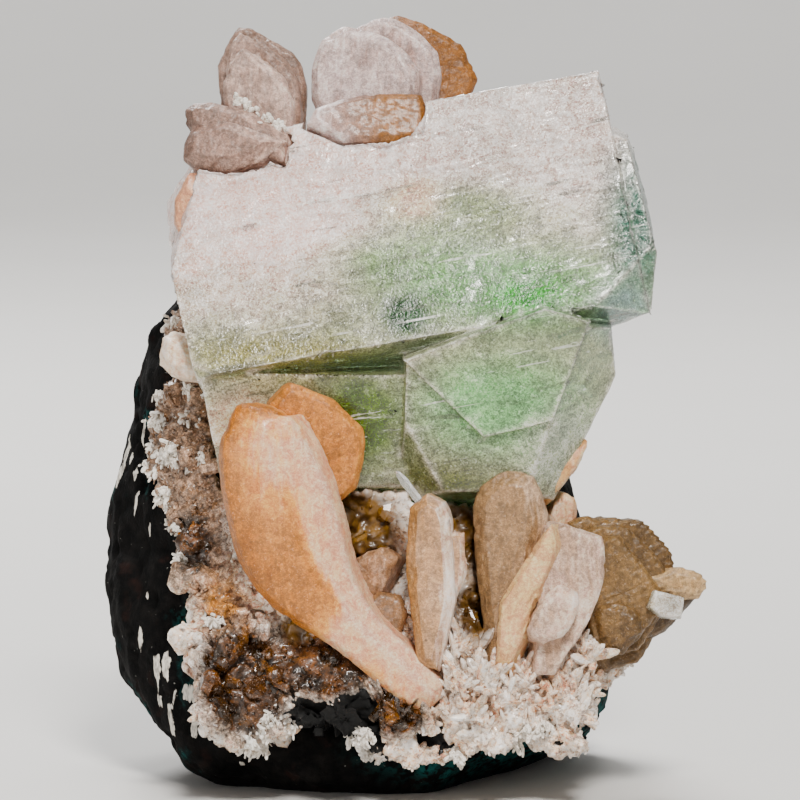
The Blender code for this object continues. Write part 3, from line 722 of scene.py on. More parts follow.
# %% The tongue
TONGUE = np.array([  # x, z of the path, half width, half thickness, depth, yaw of the front
    (-17.7, 49.3, 0.6, 0.8, -20.6, -24), (-17.8, 48.9, 2.3, 2.4, -20.6, -24),
    (-18.0, 48.0, 3.6, 3.3, -20.7, -24), (-17.7, 46.4, 4.9, 3.9, -20.8, -24),
    (-17.5, 43.6, 5.9, 4.2, -20.9, -24), (-16.5, 39.8, 6.5, 4.3, -21.0, -24),
    (-15.5, 36.2, 6.9, 4.3, -21.1, -24), (-14.6, 32.8, 6.9, 4.3, -21.3, -24),
    (-13.0, 29.4, 6.3, 4.2, -21.5, -24), (-10.7, 26.3, 5.0, 4.0, -21.8, -23),
    (-8.0, 23.5, 3.7, 3.7, -22.1, -22), (-5.4, 21.0, 3.1, 3.4, -22.4, -20),
    (-2.4, 18.2, 2.9, 3.2, -22.7, -18), (0.6, 15.5, 2.8, 3.0, -23.0, -18),
    (2.6, 13.6, 2.3, 2.4, -23.0, -18), (3.4, 12.9, 0.6, 0.7, -23.0, -18),
])


def eased(values):
    """The mean of every nine neighbours, which takes the kinks out of the path."""
    return np.convolve(np.pad(values, 4, "edge"), np.ones(9) / 9, "valid")


def tongue(rows=150, turns=110):
    """Point = path + across * side part + front * front part. Both parts come from a closed profile: at
    every angle it lies at the nearest of its faces, with rounded corners. A slanted face goes through the
    point at its share of the half width, so its distance is share * half width * cosine + half thickness
    * sine. Also gives the nearness of an edge and the tone, from deep to white."""
    at = np.linspace(0, len(TONGUE) - 1, rows)
    columns = [np.interp(at, np.arange(len(TONGUE)), column) for column in TONGUE.T]
    x, z, wide, thick = map(eased, columns[:4])
    depth, yaw = columns[4:]
    path = np.column_stack([x, depth, z])
    at, wide, thick = at[:, None], wide[:, None], thick[:, None]
    along = unit(np.gradient(path, axis=0))
    front = np.stack([look(angle, 8.0) for angle in yaw])
    across = unit(np.cross(along, front))
    across = across * np.sign(across[:, :1])
    front = unit(np.cross(across, along))
    front = front * -np.sign(front[:, 1:2])
    turn = np.linspace(0, 2 * np.pi, turns, endpoint=False)
    faces = np.radians([90, -90, 0, 180, 52, 138, -50, -130])
    shares = np.array([0, 0, 1, 1, 0.30, 0.72, 0.8, 0.8])
    distances = shares * wide * np.abs(np.cos(faces)) + thick * np.abs(np.sin(faces))
    pull = np.maximum(np.cos(turn[:, None] - faces), 0.0)[None] / distances[:, None]
    reach, edge = between_faces(pull, power=26.0, fade=0.8)
    side, forward = reach * np.cos(turn), reach * np.sin(turn)
    grid = path[:, None] + side[..., None] * across[:, None] + forward[..., None] * front[:, None]
    grid[0], grid[-1] = grid[0].mean(0), grid[-1].mean(0)
    right = side / wide
    edge = edge * (0.25 + 0.75 * smooth(right, 0.0, 0.4))
    inside = smooth(right, -0.85, 0.10) * smooth(at, 1.2, 2.6) * (0.86 - 0.62 * smooth(at, 4.5, 7.5))
    # the pale strip on the right: partly the blade's white, partly a painted sheen
    strip = 1.10 * smooth(right, 0.22, 0.62) * smooth(at, 2.0, 4.0)
    clouded = smooth(cloud(grid.reshape(-1, 3), 5.0, 52), -0.5, 0.9).reshape(side.shape)
    behind = smooth(-forward / thick, -0.6, 0.6) * (0.25 + 0.35 * clouded)
    tone = np.maximum(np.maximum(inside, strip), behind) + 0.9 * smooth(at, 9.0, 10.4)
    return grid + SHIFT, edge, np.clip(tone, -0.1, 1.15)


print("the tongue has a grid of", tongue()[0].shape)

# %% [markdown]
# ## All flat crystals
# Each row gives a crystal's front outline, the depth of its front, the way it looks, its thickness, the
# bevels of its front and back rim, and how pale it is at its left and right side.

# %% Crystal table
PLATES = {
    "stilbite_rosette_top": [
        (((-12.5, 85.4), (-12.5, 89.3), (-11.5, 92.4), (-10, 93.8), (-8.5, 94.5), (-6, 94), (-3, 93.1),
         (-0.5, 91.1), (1, 88.7), (0.6, 84), (-2, 77), (-9, 77)), 2.2, (-10, 14), 4.6, 1.1, 0.9,
         (0.95, 0.8)),
        (((-9.3, 89.9), (-7.3, 93.7), (-4, 95.4), (-1.8, 95.2), (1.3, 93.4), (3.5, 91), (4, 88),
         (3, 83), (-2, 76), (-7.7, 78)), 4.4, (-2, 12), 5.2, 0.9, 1.2, (0.8, 0.7)),
        (((-6.3, 91.1), (-4, 94.6), (-1.5, 95.5), (1.3, 94.8), (4, 93.4), (6.5, 92), (7.8, 89.8),
         (8.7, 87.3), (6.3, 82), (0, 75), (-5.5, 80)), 7.2, (8, 10), 5.4, 0.8, 1.6, (0.6, -0.4)),
        (((-12.9, 82.7), (-11.9, 84.6), (-8.7, 85.7), (-4.7, 86.4), (1.5, 86.3), (2.1, 84.6), (1.9, 81),
         (-2.7, 80.2), (-8.2, 80.5)), -3.2, (2, 24), 9, 0.7, 0, (2.2, -1.6)),
    ],
    "stilbite_lobes_left": [
        (((-28.2, 82.7), (-28.2, 84.4), (-27.1, 85.3), (-25.1, 85.5), (-19.9, 84.2), (-15.4, 81.4),
         (-15.9, 78.1), (-24.2, 80.5), (-27.4, 81.6)), -2.6, (-10, 20), 5.6, 1.2, 1.4, (0.2, 0.8)),
        (((-28.5, 78.4), (-28.5, 80.2), (-27.7, 82), (-26, 83), (-22.6, 83.5), (-18.3, 82.1),
         (-15.6, 81), (-18.8, 78.4), (-23.1, 77), (-27, 77.3)), -4.6, (-12, 18), 5.6, 1.6, 1.2,
         (0.3, 0.9)),
    ],
    "stilbite_blade_large": [
        (((-17.1, 49.3), (-14.9, 51.7), (-13.2, 52.4), (-11.9, 52.3), (-9.3, 49.8), (-7.1, 48.9),
         (-5.7, 47.2), (-5.3, 44.7), (-5.5, 42), (-6.4, 38.9), (-8.8, 36.6), (-12, 35.4), (-15.2, 38.2),
         (-17.4, 44)), -19.6, (8, 4), 5.4, 0.9, 0.7, (0.1, 0.35)),
    ],
    "stilbite_blade_middle": [
        (((-0.6, 29), (-0.5, 33.2), (-0.2, 37.2), (0.9, 38.1), (1.8, 38.9), (4, 37.8), (4.8, 35.7),
         (5.1, 30.9), (5.4, 26), (4.8, 22.8), (3.4, 17), (0.6, 18)), -25.2, (-6, 4), 5.6, 1.2, 0.8,
         (0.15, 0.9)),
        (((3.6, 34), (8.4, 33.6), (8.5, 32.2), (7.7, 30.2), (7.2, 25.6), (7.5, 18.7), (3.1, 18.7)),
         -22.8, (10, 5), 4.2, 0.7, 0, (0.6, 0.8)),
    ],
    "stilbite_column": [
        (((7.8, 29.9), (7.5, 36.9), (8.3, 39), (9.8, 40.2), (11.3, 41), (13.2, 41), (14.9, 40.4),
         (15.8, 38.5), (16.6, 35.5), (16.7, 31.8), (15.9, 28.8), (13.7, 23.8), (11.5, 15.5),
         (9.4, 16.5)), -21.2, (-4, 4), 8.6, 1.6, 1.2, (0.35, 0.75)),
    ],
    "stilbite_blade_ribbed": [
        (((10.5, 25.3), (14.4, 31.8), (16.9, 35.1), (17.4, 32.3), (15.6, 26.7), (13.7, 22),
         (11.7, 16.5), (10, 17.2)), -24.4, (-20, 6), 4.4, 0.8, 0, (0.3, 0.5)),
    ],
    "stilbite_plate_right": [
        (((16.6, 34.7), (18.3, 35.1), (23.8, 33.1), (24.1, 29.9), (23.7, 25.1), (21.8, 22.2),
         (19.3, 16.1), (15.4, 16.5), (15.6, 27.8)), -22.2, (14, 6), 5, 0.5, 0, (0.7, 0.8)),
        (((18.3, 27.8), (20.4, 26.8), (20.8, 25.6), (20.1, 23.2), (18.8, 21.5), (16.4, 20.7),
         (14.8, 21.3), (14.4, 22.4), (15.2, 24.5), (16.4, 26.3)), -25.4, (6, 12), 5.2, 0.7, 0,
         (0.7, 0.9)),
    ],
    "stilbite_sheaf_right": [
        (((20.6, 29), (23.8, 32.4), (25.9, 32.9), (28.4, 29.5), (31, 26.2), (30.7, 23.3), (28.3, 19.6),
         (24.6, 17.6), (22.1, 19.1)), -17.2, (2, 4), 3, 0.5, 0, (0.4, 0.35)),
        (((20.2, 32), (22.9, 33.8), (26.8, 33.5), (30.1, 30.5), (31.9, 27.9), (32.2, 25.4),
         (30.6, 21.5), (28.3, 18.1), (23.4, 17.4)), -15.2, (6, 4), 3.2, 0.5, 0, (0.4, 0.3)),
        (((19.7, 34), (21.7, 34.7), (26.9, 34.3), (29.3, 34), (31.4, 31.5), (32.5, 30.4), (32.9, 28),
         (32.1, 23.4), (29.9, 18.7), (28.4, 16.3), (22.4, 15.1)), -13, (10, 4), 5, 0.5, 1, (0.4, 0.2)),
        (((27.3, 24.5), (31.8, 25.9), (35.8, 24.6), (36.2, 21.9), (34.6, 21.2), (30.9, 19), (29, 16.9),
         (26.4, 17.4)), -13.6, (12, -8), 4.6, 0.8, 0.8, (0.1, 0.0)),
        (((29, 28), (33, 28.7), (36, 27.8), (36.8, 26.7), (36.6, 25.7), (35.7, 24.5), (32.8, 24.5),
         (29, 25.4)), -15, (4, 6), 4.2, 0.9, 0.9, (0.8, 0.9)),
        (((22.3, 23.2), (23.3, 24.4), (25.8, 24.6), (28.2, 23.3), (28.5, 20.8), (26, 18), (23.6, 18.2),
         (22.5, 21.6)), -18.6, (-6, 2), 4.4, 0.9, 0, (0.35, 0.2)),
    ],
    "stilbite_blades_under": [
        (((15.7, 38.6), (18, 40.6), (21.2, 43.1), (22.6, 44.3), (22.3, 42.3), (20.8, 40.4),
         (19.9, 38.5), (18.5, 36.1), (16.7, 35.2)), -13.6, (20, -10), 3.4, 0.6, 0, (0.3, 0.8)),
        (((17.5, 34.4), (18.5, 37), (19.2, 37.4), (20.5, 36.7), (20.9, 35.8), (20.6, 32.6), (20, 27),
         (17.6, 27)), -12.2, (16, 0), 4.6, 0.7, 0, (0.9, 0.7)),
    ],
    "stilbite_blocks_low": [
        (((-7.9, 29.3), (-5.9, 31), (-3.5, 31.7), (-1.7, 30.6), (-2, 28.5), (-3.5, 26.5), (-5.4, 22.5),
         (-8.6, 22.5)), -20, (-14, 10), 5.6, 1, 0, (0.6, 0.6)),
        (((-6.1, 24.9), (-3.7, 26.5), (-0.8, 26), (-0.1, 23.6), (-1.5, 20), (-4.9, 20.5)), -21.6,
         (6, 16), 5.4, 0.6, 0, (0.3, 0.3)),
    ],
    "stilbite_fan_top_left": [
        (((-23.5, 85.3), (-23.5, 87.5), (-22.4, 90.2), (-21.1, 92), (-18.4, 90.3), (-16.1, 88.3),
         (-15, 85.4), (-14.6, 77), (-20.5, 76)), -0.6, (-14, 10), 4, 0.7, 0, (0.6, 0.9)),
        (((-23.2, 88.9), (-22.6, 92.1), (-21.4, 93.6), (-18.9, 92.4), (-15.8, 90.4), (-14.2, 87.7),
         (-13.7, 84), (-13.9, 75.5), (-20.6, 75.7)), 1.4, (-8, 10), 4.2, 0.5, 0, (0.6, 0.5)),
        (((-24.2, 89.2), (-22.6, 92.7), (-21.6, 94.1), (-20.2, 94.3), (-17.2, 92.5), (-14.9, 91.2),
         (-13.7, 89.6), (-13, 86.9), (-13, 83.8), (-13.4, 74.6), (-20, 74.8), (-23.5, 82.3)), 4,
         (-2, 10), 5, 0.5, 1.2, (0.5, 0.3)),
    ],
    "stilbite_edge_left": [
        (((-30.4, 71.4), (-29.6, 73), (-29.5, 76.6), (-28.2, 77.4), (-25.8, 73), (-26.6, 68.6),
         (-29, 68.8)), -4.6, (-30, 4), 5, 0.7, 0.8, (0.2, 0.7)),
    ],
    "stilbite_knob_left": [
        (((-31.7, 54.8), (-31.1, 56.8), (-29.9, 57.7), (-27.9, 57.4), (-26.4, 55.2), (-26.1, 52.8),
         (-27.6, 51.7), (-30.1, 52), (-31.5, 53.4)), -12, (-20, 12), 7, 1.6, 1.2, (0.8, 0.9)),
    ],
}

BLADES = (
    # node, deep tint, pale tint, rim tint, rib depth, rib width, across the ribs
    ("stilbite_blade_large", (170, 98, 8), (240, 164, 84), (224, 184, 154),
     0.05, 2.6, (0.94, -0.1, 0.30)),
    ("stilbite_blade_middle", (160, 108, 40), (206, 168, 136), (252, 236, 224),
     0.06, 1.8, (1.0, 0.0, 0.05)),
    ("stilbite_column", (126, 92, 52), (168, 132, 94), (220, 188, 160),
     0.10, 1.5, (0.97, 0.0, -0.2)),
    ("stilbite_blade_ribbed", (196, 148, 84), (252, 214, 168), (255, 240, 220),
     0.16, 1.1, (0.80, 0.0, -0.55)),
    ("stilbite_plate_right", (148, 112, 78), (190, 156, 132), (238, 214, 196),
     0.08, 1.6, (0.86, 0.0, -0.5)),
    ("stilbite_sheaf_right", (72, 48, 12), (172, 132, 76), (190, 156, 112),
     0.24, 0.9, (-0.45, 0.0, 0.9)),
    ("stilbite_blades_under", (192, 130, 60), (220, 172, 118), (240, 208, 176),
     0.06, 1.4, (0.7, 0.0, -0.7)),
    ("stilbite_blocks_low", (120, 82, 36), (172, 128, 94), (214, 178, 150),
     0.08, 1.2, (0.5, 0.0, 0.85)),
    ("stilbite_rosette_top", (138, 86, 26), (174, 148, 144), (212, 194, 188),
     0.03, 1.6, (0.5, 0.3, 0.8)),
    ("stilbite_fan_top_left", (104, 78, 58), (170, 138, 124), (212, 184, 170),
     0.12, 1.0, (0.8, 0.3, 0.5)),
    ("stilbite_lobes_left", (70, 48, 36), (190, 152, 134), (220, 190, 174),
     0.05, 1.0, (0.7, 0.2, -0.7)),
    ("stilbite_edge_left", (196, 132, 92), (222, 172, 140), (242, 212, 194),
     0.05, 1.0, (1.0, 0.0, 0.2)),
    ("stilbite_knob_left", (180, 138, 96), (228, 192, 158), (250, 234, 216),
     0.12, 1.2, (0.4, 0.0, 0.9)),
)
for number, (node, deep, pale, rim, ribs, width, across) in enumerate(BLADES):
    grids, edges, tones = [], [], []
    for outline, depth, facing, thickness, chamfer, back, (left, right) in PLATES[node]:
        grid, edge, turned = flat_crystal(outline, depth, facing, thickness, chamfer, back)
        # faces that look to the right get a paler tone: a painted sheen
        share = 0.5 * (grid[..., 0] - grid[..., 0].min()) / np.ptp(grid[..., 0]) + 0.25 + 0.35 * turned
        grids.append(grid)
        edges.append(edge)
        tones.append(left + (right - left) * share)
    if node == "stilbite_blade_large":
        grid, edge, tone = tongue()
        grids.append(grid)
        edges.append(edge)
        tones.append(tone)
    mesh = joined(node + "_skin", grids, {"edge": edges, "tone": tones})
    mesh = weathered(mesh, ribs, width, across, 20 + number)
    finish = stilbite_finish(node + "_finish", seen(*deep), seen(*pale), seen(*rim))
    show(node + "_skin", mesh, finish, "stilbite", node)

# %% [markdown]
# ## Basalt
# The rock is black and dull, broken rather than worn, with gas holes and a faint teal stain. Its skin
# is a soft copy of the solid. A cloud roughens it, a second one folded at zero gives the sharp creases
# of a fracture, and holes are pressed in round random points. White zeolite fills some of the gas
# holes. Those that show from the front are in a table, and a few more are drawn at random for the sides
# and the back. They lie level with the rock, so they are only colour.

# %% Rock skin and finish
FILLINGS = np.array([  # x, z, half width, half height of the white fillings, as seen from the front
    (-33.0, 17.9, 0.6, 1.5), (-30.9, 15.0, 0.7, 2.1), (-29.6, 15.6, 0.6, 2.4), (-28.9, 8.6, 0.6, 2.6),
    (-26.2, 8.0, 0.5, 1.6), (-26.4, 12.2, 1.6, 1.2), (-24.2, 8.8, 0.9, 2.4), (-22.3, 10.6, 1.0, 1.8),
    (-21.8, 6.0, 0.5, 1.6), (-33.6, 34.6, 0.4, 2.0), (-31.6, 31.6, 0.3, 1.0), (-30.6, 10.6, 0.4, 1.6),
    (-20.0, 3.4, 0.4, 1.4), (-32.2, 23.6, 0.3, 0.7), (-28.6, 11.6, 0.3, 1.2), (3.2, 6.4, 1.5, 1.0),
    (14.0, 7.6, 1.6, 1.2),
])
GAS_HOLES, FILLINGS_TRIED = 420, 700


def on_the_front(points, normals, across):
    """Where lines straight in from the front meet a skin: across holds (x, z) in mm. The point nearest
    to each line wins, among those that look to the front."""
    ahead = points[normals[:, 1] < -0.05]
    flat = ((np.array(across)[:, None, :] - ahead[None, :, [0, 2]]) ** 2).sum(-1)
    return ahead[flat.argmin(1)]


def rock_skin():
    """Points move along their normals by a cloud, less the creases of a folded cloud, less the holes: a
    hole is a bowl round a random point of the surface. Near a white filling the skin stays almost level,
    and the nearness of the nearest filling is kept as a value."""
    mesh = soft_copy("basalt_matrix", 0.52, 1)
    points, normals = points_of(mesh), normals_of(mesh)
    draw = np.random.default_rng(5)
    rise = 0.35 * cloud(points, 4.5, 61, 4) - 0.45 * (1.0 - np.abs(cloud(points, 5.0, 71))) ** 3
    for centre in points[draw.choice(len(points), GAS_HOLES, replace=False)]:
        radius = draw.uniform(0.5, 1.5)
        away = np.linalg.norm(points - centre, axis=1) / radius
        rise = rise - 0.55 * radius * np.clip(1.0 - away**2, 0.0, 1.0)
    elsewhere = points[draw.choice(len(points), FILLINGS_TRIED, replace=False)]
    wanted = (elsewhere[:, 1] > -2.0) & (cloud(elsewhere, 12.0, 90) > 0.45) & (elsewhere[:, 2] > 2.0)
    elsewhere = elsewhere[wanted]
    centres = np.vstack([on_the_front(points, normals, FILLINGS[:, :2]), elsewhere])
    sizes = np.vstack([FILLINGS[:, 2:], draw.uniform(0.4, 1.0, (len(elsewhere), 2)) ** 2 * (1.0, 2.4)])
    filling = np.zeros(len(points))
    for centre, (wide, tall) in zip(centres, sizes):
        away = np.linalg.norm((points - centre) / (wide, wide, tall), axis=1)
        filling = np.maximum(filling, 1.5 - away)
    filling = np.clip(filling, 0.0, 1.0)
    rise = rise * (1.0 - 0.8 * filling) * smooth(points[:, 2], 0.0, 1.2)
    put_points(mesh, points + normals * rise[:, None])
    # how deep a point lies in the holes and creases, for the painted shade there
    put_values(mesh, "hollow_shade", np.clip(-rise, 0.0, 1.0))
    put_values(mesh, "filling", filling)
    return mesh


def rock_finish():
    made = Finish("basalt")
    hollow_shade = made.value("hollow_shade")
    patch = made.noise(6.0, 5.0)
    colour = made.blend(seen(6, 6, 6), seen(20, 18, 17), made.noise(1.6, 6.0).rise(0.4, 0.7))
    rust = made.noise(4.0, 4.0, (1, 1, 1.4)).rise(0.56, 0.70)
    colour = made.blend(colour, seen(40, 24, 20), rust * 0.6)
    teal_foot = made.spot(14.0, 6.0, 24.0, 8.0) * 1.6 * made.noise(2.0).rise(0.42, 0.52)
    teal = (patch.rise(0.60, 0.70) * 0.5 + teal_foot).clamp()
    colour = made.blend(colour, seen(20, 84, 82), teal * made.noise(0.8, 4.0).rise(0.38, 0.55))
    colour = made.blend(colour, seen(190, 188, 180), made.noise(0.7, 4.0).rise(0.70, 0.76) * 0.6)
    # holes and creases go darker: painted shade
    colour = made.blend(colour, seen(5, 5, 5), hollow_shade * 0.6)
    fibres = made.noise(0.5, 5.0, (1.0, 1.0, 0.4))
    rind = made.spot(-31.0, 66.0, 4.5, 8.0)
    white = (made.value("filling") + rind + (fibres - 0.5) * 1.6).rise(0.50, 0.58)
    filled = made.blend(seen(150, 144, 134), seen(232, 226, 214), fibres.rise(0.35, 0.6))
    colour = made.blend(colour, filled, white)
    relief = made.bump(made.noise(0.5, 6.0) + white * 0.8, 0.16)
    return made.close(made.surface(
        base_color=colour, roughness=0.7 + 0.3 * patch, specular_ior_level=0.1, normal=relief,
    ))


rock_mesh = rock_skin()
show("basalt_matrix_skin", rock_mesh, rock_finish(), "basalt", "basalt_matrix")

# %% [markdown]
# ## The crust
# The crust is a felt of tiny crystals, sugary to the eye, pinkish white above and honey brown low on
# the left, with a white fibrous rim where it ends on the rock. Its body is a soft copy of the solid,
# broken into large and small blocks that grew into each other, as druses are. The nearness of the rock
# is worked out for each point and marks the rim. A second value marks the places where the crust is
# gone: there the skin sinks and takes the black of the rock.

# %% Crust skin and finish
def nearest(points, others):
    """Which of the others is nearest to each point, and its distance, in slices to spare memory. Squared
    distance = squared length of the point + that of the other - twice their dot product."""
    squared = (others**2).sum(1)
    chosen, found = [], []
    for part in np.array_split(points, max(1, len(points) // 2000)):
        away = squared - 2 * part @ others.T
        chosen.append(away.argmin(1))
        found.append(away.min(1) + (part**2).sum(1))
    return np.concatenate(chosen), np.sqrt(np.maximum(np.concatenate(found), 0.0))


def blocks(points, normals, count, tilt, draw):
    """Blocks that grew into each other: every point belongs to the nearest of some random centres, and
    its rise is its offset from that centre times the centre's own random slope. Also its block's shade."""
    chosen = draw.choice(len(points), count, replace=False)
    owner, _ = nearest(points, points[chosen])
    slopes = np.cross(normals[chosen], draw.normal(size=(count, 3))) * tilt
    rise = ((points - points[chosen][owner]) * slopes[owner]).sum(1)
    return rise, draw.uniform(0.0, 1.0, count)[owner]


def cavity_of(points):
    """1 where the crust is gone and black rock shows: low in front, right of the brown druse, and in
    gaps along its lower edge. The outline wanders with a cloud."""
    x, y, z = (points - SHIFT).T
    drift = 1.3 * cloud(points, 2.6, 95)
    hole = smooth(x + drift, -15.2, -13.4) * smooth(-x + drift, 3.2, 4.6)
    hole = hole * smooth(-z + drift, -14.6, -13.2)
    gaps = smooth(cloud(points, 3.4, 97), 0.35, 0.6) * smooth(-z, -12.0, -8.5) * smooth(x, -14.0, -10.0)
    return np.clip(hole + gaps, 0, 1) * smooth(-y, 4.0, 8.0)


LARGE_BLOCKS, SMALL_BLOCKS = 1100, 9000


def crust_skin():
    """Points move along their normals by large blocks + small blocks + a cloud, and sink at the cavity,
    there only where they face the front."""
    mesh = soft_copy("zeolite_crust", 0.38, 1)
    points, normals = points_of(mesh), normals_of(mesh)
    draw = np.random.default_rng(31)
    _, from_rock = nearest(points, points_of(rock_mesh)[::9])
    rim = np.exp(-from_rock / 0.9)
    large, shade = blocks(points, normals, LARGE_BLOCKS, 0.36, draw)
    small, grains = blocks(points, normals, SMALL_BLOCKS, 0.5, draw)
    cavity = cavity_of(points)
    rise = np.clip(large, -0.8, 0.8) + np.clip(small, -0.25, 0.25) + 0.12
    rise = rise + 0.10 * cloud(points, 1.5, 81, 3)
    rise = rise - 1.8 * cavity * smooth(-normals[:, 1], 0.0, 0.5)
    put_points(mesh, points + normals * rise[:, None])
    put_values(mesh, "rim", rim)
    put_values(mesh, "cavity", cavity)
    put_values(mesh, "shade", 0.7 * shade + 0.3 * grains)
    return mesh


# x, z, half width and half height of the gold-olive spots, the crust's gold tint darkened as painted shade
# between the blades, and of the brown parts, as seen from the front
GOLDEN_SHADE = (
    (-5.5, 33.0, 7.0, 8.0), (6.5, 32.0, 4.5, 7.0), (9.0, 24.0, 3.5, 5.0), (-13.0, 22.0, 3.0, 3.0),
)
BROWN = (
    (-19.5, 15.5, 8.0, 10.0), (-10.0, 17.5, 10.0, 5.5), (-26.0, 31.0, 3.5, 4.0), (-1.0, 12.0, 5.5, 4.5),
)


def crust_finish(name, roughness):
    made = Finish(name)
    rim, shade, cavity = made.value("rim"), made.value("shade"), made.value("cavity")
    patch = made.noise(5.0, 4.0)
    grain = made.noise(0.7, 6.0)
    sugar = (patch * 1.2 + shade * 0.8 - 0.4).clamp()
    colour = made.blend(seen(236, 196, 160), seen(252, 244, 234), sugar)
    left = made.along((-1.0, 0, 0)).rise(18.0, 24.0) * made.along((0, 0, 1.0)).rise(22.0, 30.0)
    colour = made.blend(colour, made.blend(seen(108, 78, 52), seen(184, 148, 120), shade), left)
    ochre = (made.spot(-22.0, 24.5, 6.0, 6.0) * 2.4 * patch).clamp()
    colour = made.blend(colour, seen(176, 118, 54), ochre)
    brown = made.blend(seen(36, 20, 0), seen(116, 66, 14), shade ** 2.0)
    for spot in BROWN:
        share = made.spot(*spot) * (0.6 + 1.2 * patch) * 2.2 + (grain - 0.5)
        colour = made.blend(colour, brown, share.clamp())
    colour = made.blend(colour, seen(170, 108, 34), made.noise(3.0).rise(0.56, 0.74) * 0.5)
    # fine grain with white crests on the crust and the druse: painted glints
    colour = made.grain_and_glints(made.grain_and_glints(colour, 1.2, 0.4), 0.34, 0.45, 0.35)
    # gold-olive behind the blades: the crust's tint, darkened as painted shade
    golden_shade = made.blend(seen(78, 50, 4), seen(132, 92, 20), made.noise(2.4, 3.0).rise(0.4, 0.65))
    for spot in GOLDEN_SHADE:
        colour = made.blend(colour, golden_shade, (made.spot(*spot) * 2.2).clamp())
    colour = made.blend(colour, seen(236, 228, 218), (rim * 1.2 - 0.25 + (grain - 0.5)).clamp())
    colour = made.blend(colour, seen(8, 8, 7), (cavity * 1.5 + (grain - 0.5)).rise(0.45, 0.65))
    relief = made.bump(grain, 0.14)
    return made.close(made.surface(
        base_color=colour, roughness=roughness + 0.3 * grain + 0.5 * cavity, ior=1.49,
        coat_weight=0.4 * (1.0 - cavity), coat_roughness=0.12, normal=relief,
    ))


crust_mesh = crust_skin()
crust = crust_finish("zeolite_crust", roughness=0.34)
show("zeolite_crust_skin", crust_mesh, crust, "zeolite_crust", "zeolite_crust")

# %% [markdown]
# ## The druse
# Thousands of small crystals stand on the crust. Each is a profile carried along an axis: a flattened
# ring of six corners goes up from the root, holds its width to the shoulder, and draws in to a blunt
# tip. All crystals are worked out in one array, whose axes are crystal, ring, corner and x-y-z.

# %% Small crystals
RING_AT = np.array([0.0, 0.74, 0.93, 1.0])  # shares of the length
RING_WIDE = np.array([0.92, 1.0, 0.62, 0.20])  # shares of the half width
CORNERS = 6


def scatter(mesh, count, likelihood, draw):
    """Random places on the mesh: (points, normals, index of the nearest corner). A triangle is drawn as
    often as its area times its likelihood says, and a place on it is a random mix of its corners."""
    mesh.calc_loop_triangles()
    corners = np.empty(len(mesh.loop_triangles) * 3, np.int32)
    mesh.loop_triangles.foreach_get("vertices", corners)
    corners = corners.reshape(-1, 3)
    points = points_of(mesh)
    first, second, third = (points[corners[:, side]] for side in range(3))
    normal = np.cross(second - first, third - first)
    area = np.linalg.norm(normal, axis=1)
    weight = area * likelihood[corners].mean(1)
    chosen = draw.choice(len(corners), count, p=weight / weight.sum())
    mix = draw.dirichlet((1, 1, 1), count)
    places = np.einsum("nc,ncx->nx", mix, points[corners[chosen]])
    return places, normal[chosen] / area[chosen][:, None], corners[chosen][:, 0]


def crop_of_crystals(name, roots, ways, lengths, widths, flatness, buried, draw):
    """Point = root + axis * length * (station - buried) + (side * cos + other * sin * flatness) * half
    width * ring width, for every crystal, ring and corner. The rings are joined by quads, and both ends
    are closed."""
    roots = roots - ways * lengths[:, None] * buried
    sides = unit(np.cross(ways, draw.normal(size=ways.shape)))
    others = np.cross(ways, sides)
    turn = np.arange(CORNERS) / CORNERS * 2 * np.pi
    ring = np.einsum("c,nx->ncx", np.cos(turn), sides)
    ring = ring + np.einsum("c,nx,n->ncx", np.sin(turn), others, flatness)
    points = np.einsum("nx,n,r->nrx", ways, lengths, RING_AT)[:, :, None, :] + roots[:, None, None, :]
    points = points + np.einsum("ncx,n,r->nrcx", ring, widths, RING_WIDE)
    index = np.arange(len(roots) * len(RING_AT) * CORNERS).reshape(-1, len(RING_AT), CORNERS)
    ahead = np.roll(index, -1, axis=2)
    quads = np.stack([index[:, :-1], ahead[:, :-1], ahead[:, 1:], index[:, 1:]], -1).reshape(-1, 4)
    tips, feet = index[:, -1], index[:, 0, ::-1]
    mesh = bpy.data.meshes.new(name)
    mesh.from_pydata(points.reshape(-1, 3), [], quads.tolist() + tips.tolist() + feet.tolist())
    put_points(mesh, points.reshape(-1, 3))
    return mesh


def spread_values(mesh, name, values):
    """One value a crystal, given to each of its points."""
    put_values(mesh, name, np.repeat(values, len(mesh.vertices) // len(values)))


draw = np.random.default_rng(12)
crust_points, crust_normals = points_of(crust_mesh), normals_of(crust_mesh)
crust_rim, crust_cavity = value_of(crust_mesh, "rim"), value_of(crust_mesh, "cavity")
to_right, to_back, up = crust_points.T
outside = smooth(-crust_normals[:, 1], -0.55, 0.2) * smooth(-crust_rim, -0.75, -0.25)
outside = outside * (1.0 - crust_cavity) ** 3
glassy = outside * (0.15 + smooth(-up, -30.0, -24.0) * smooth(-to_right, 6.0, 10.0))
x, _, z = (crust_points - SHIFT).T
# where the painted shade behind the blades lies, fewer crystals grow
golden_shade = sum(
    smooth(-np.hypot((x - spot[0]) / spot[2], (z - spot[1]) / spot[3]), -0.9, -0.6) for spot in GOLDEN_SHADE
)
outside = outside * (1.0 - 0.9 * np.clip(golden_shade, 0.0, 1.0))
feet = outside * smooth(up, 7.0, 12.0) * smooth(-up, -25.0, -20.0)
feet = feet * smooth(to_right, -7.0, -1.0) * smooth(-to_back, 12.0, 17.0)
druse_finish = crust_finish("druse", roughness=0.10)
CROPS = (
    # name, number, shortest, longest, buried share of the length, upward pull, greatest half width as a
    # share of the length, where they grow
    ("druse_stout", 170, 1.6, 4.2, 0.62, 0.0, 0.42, glassy),
    ("druse_fine", 4400, 0.3, 0.85, 0.55, 0.0, 0.42, outside),
    ("druse_feet", 620, 1.8, 5.4, 0.45, 1.1, 0.15, feet),
)
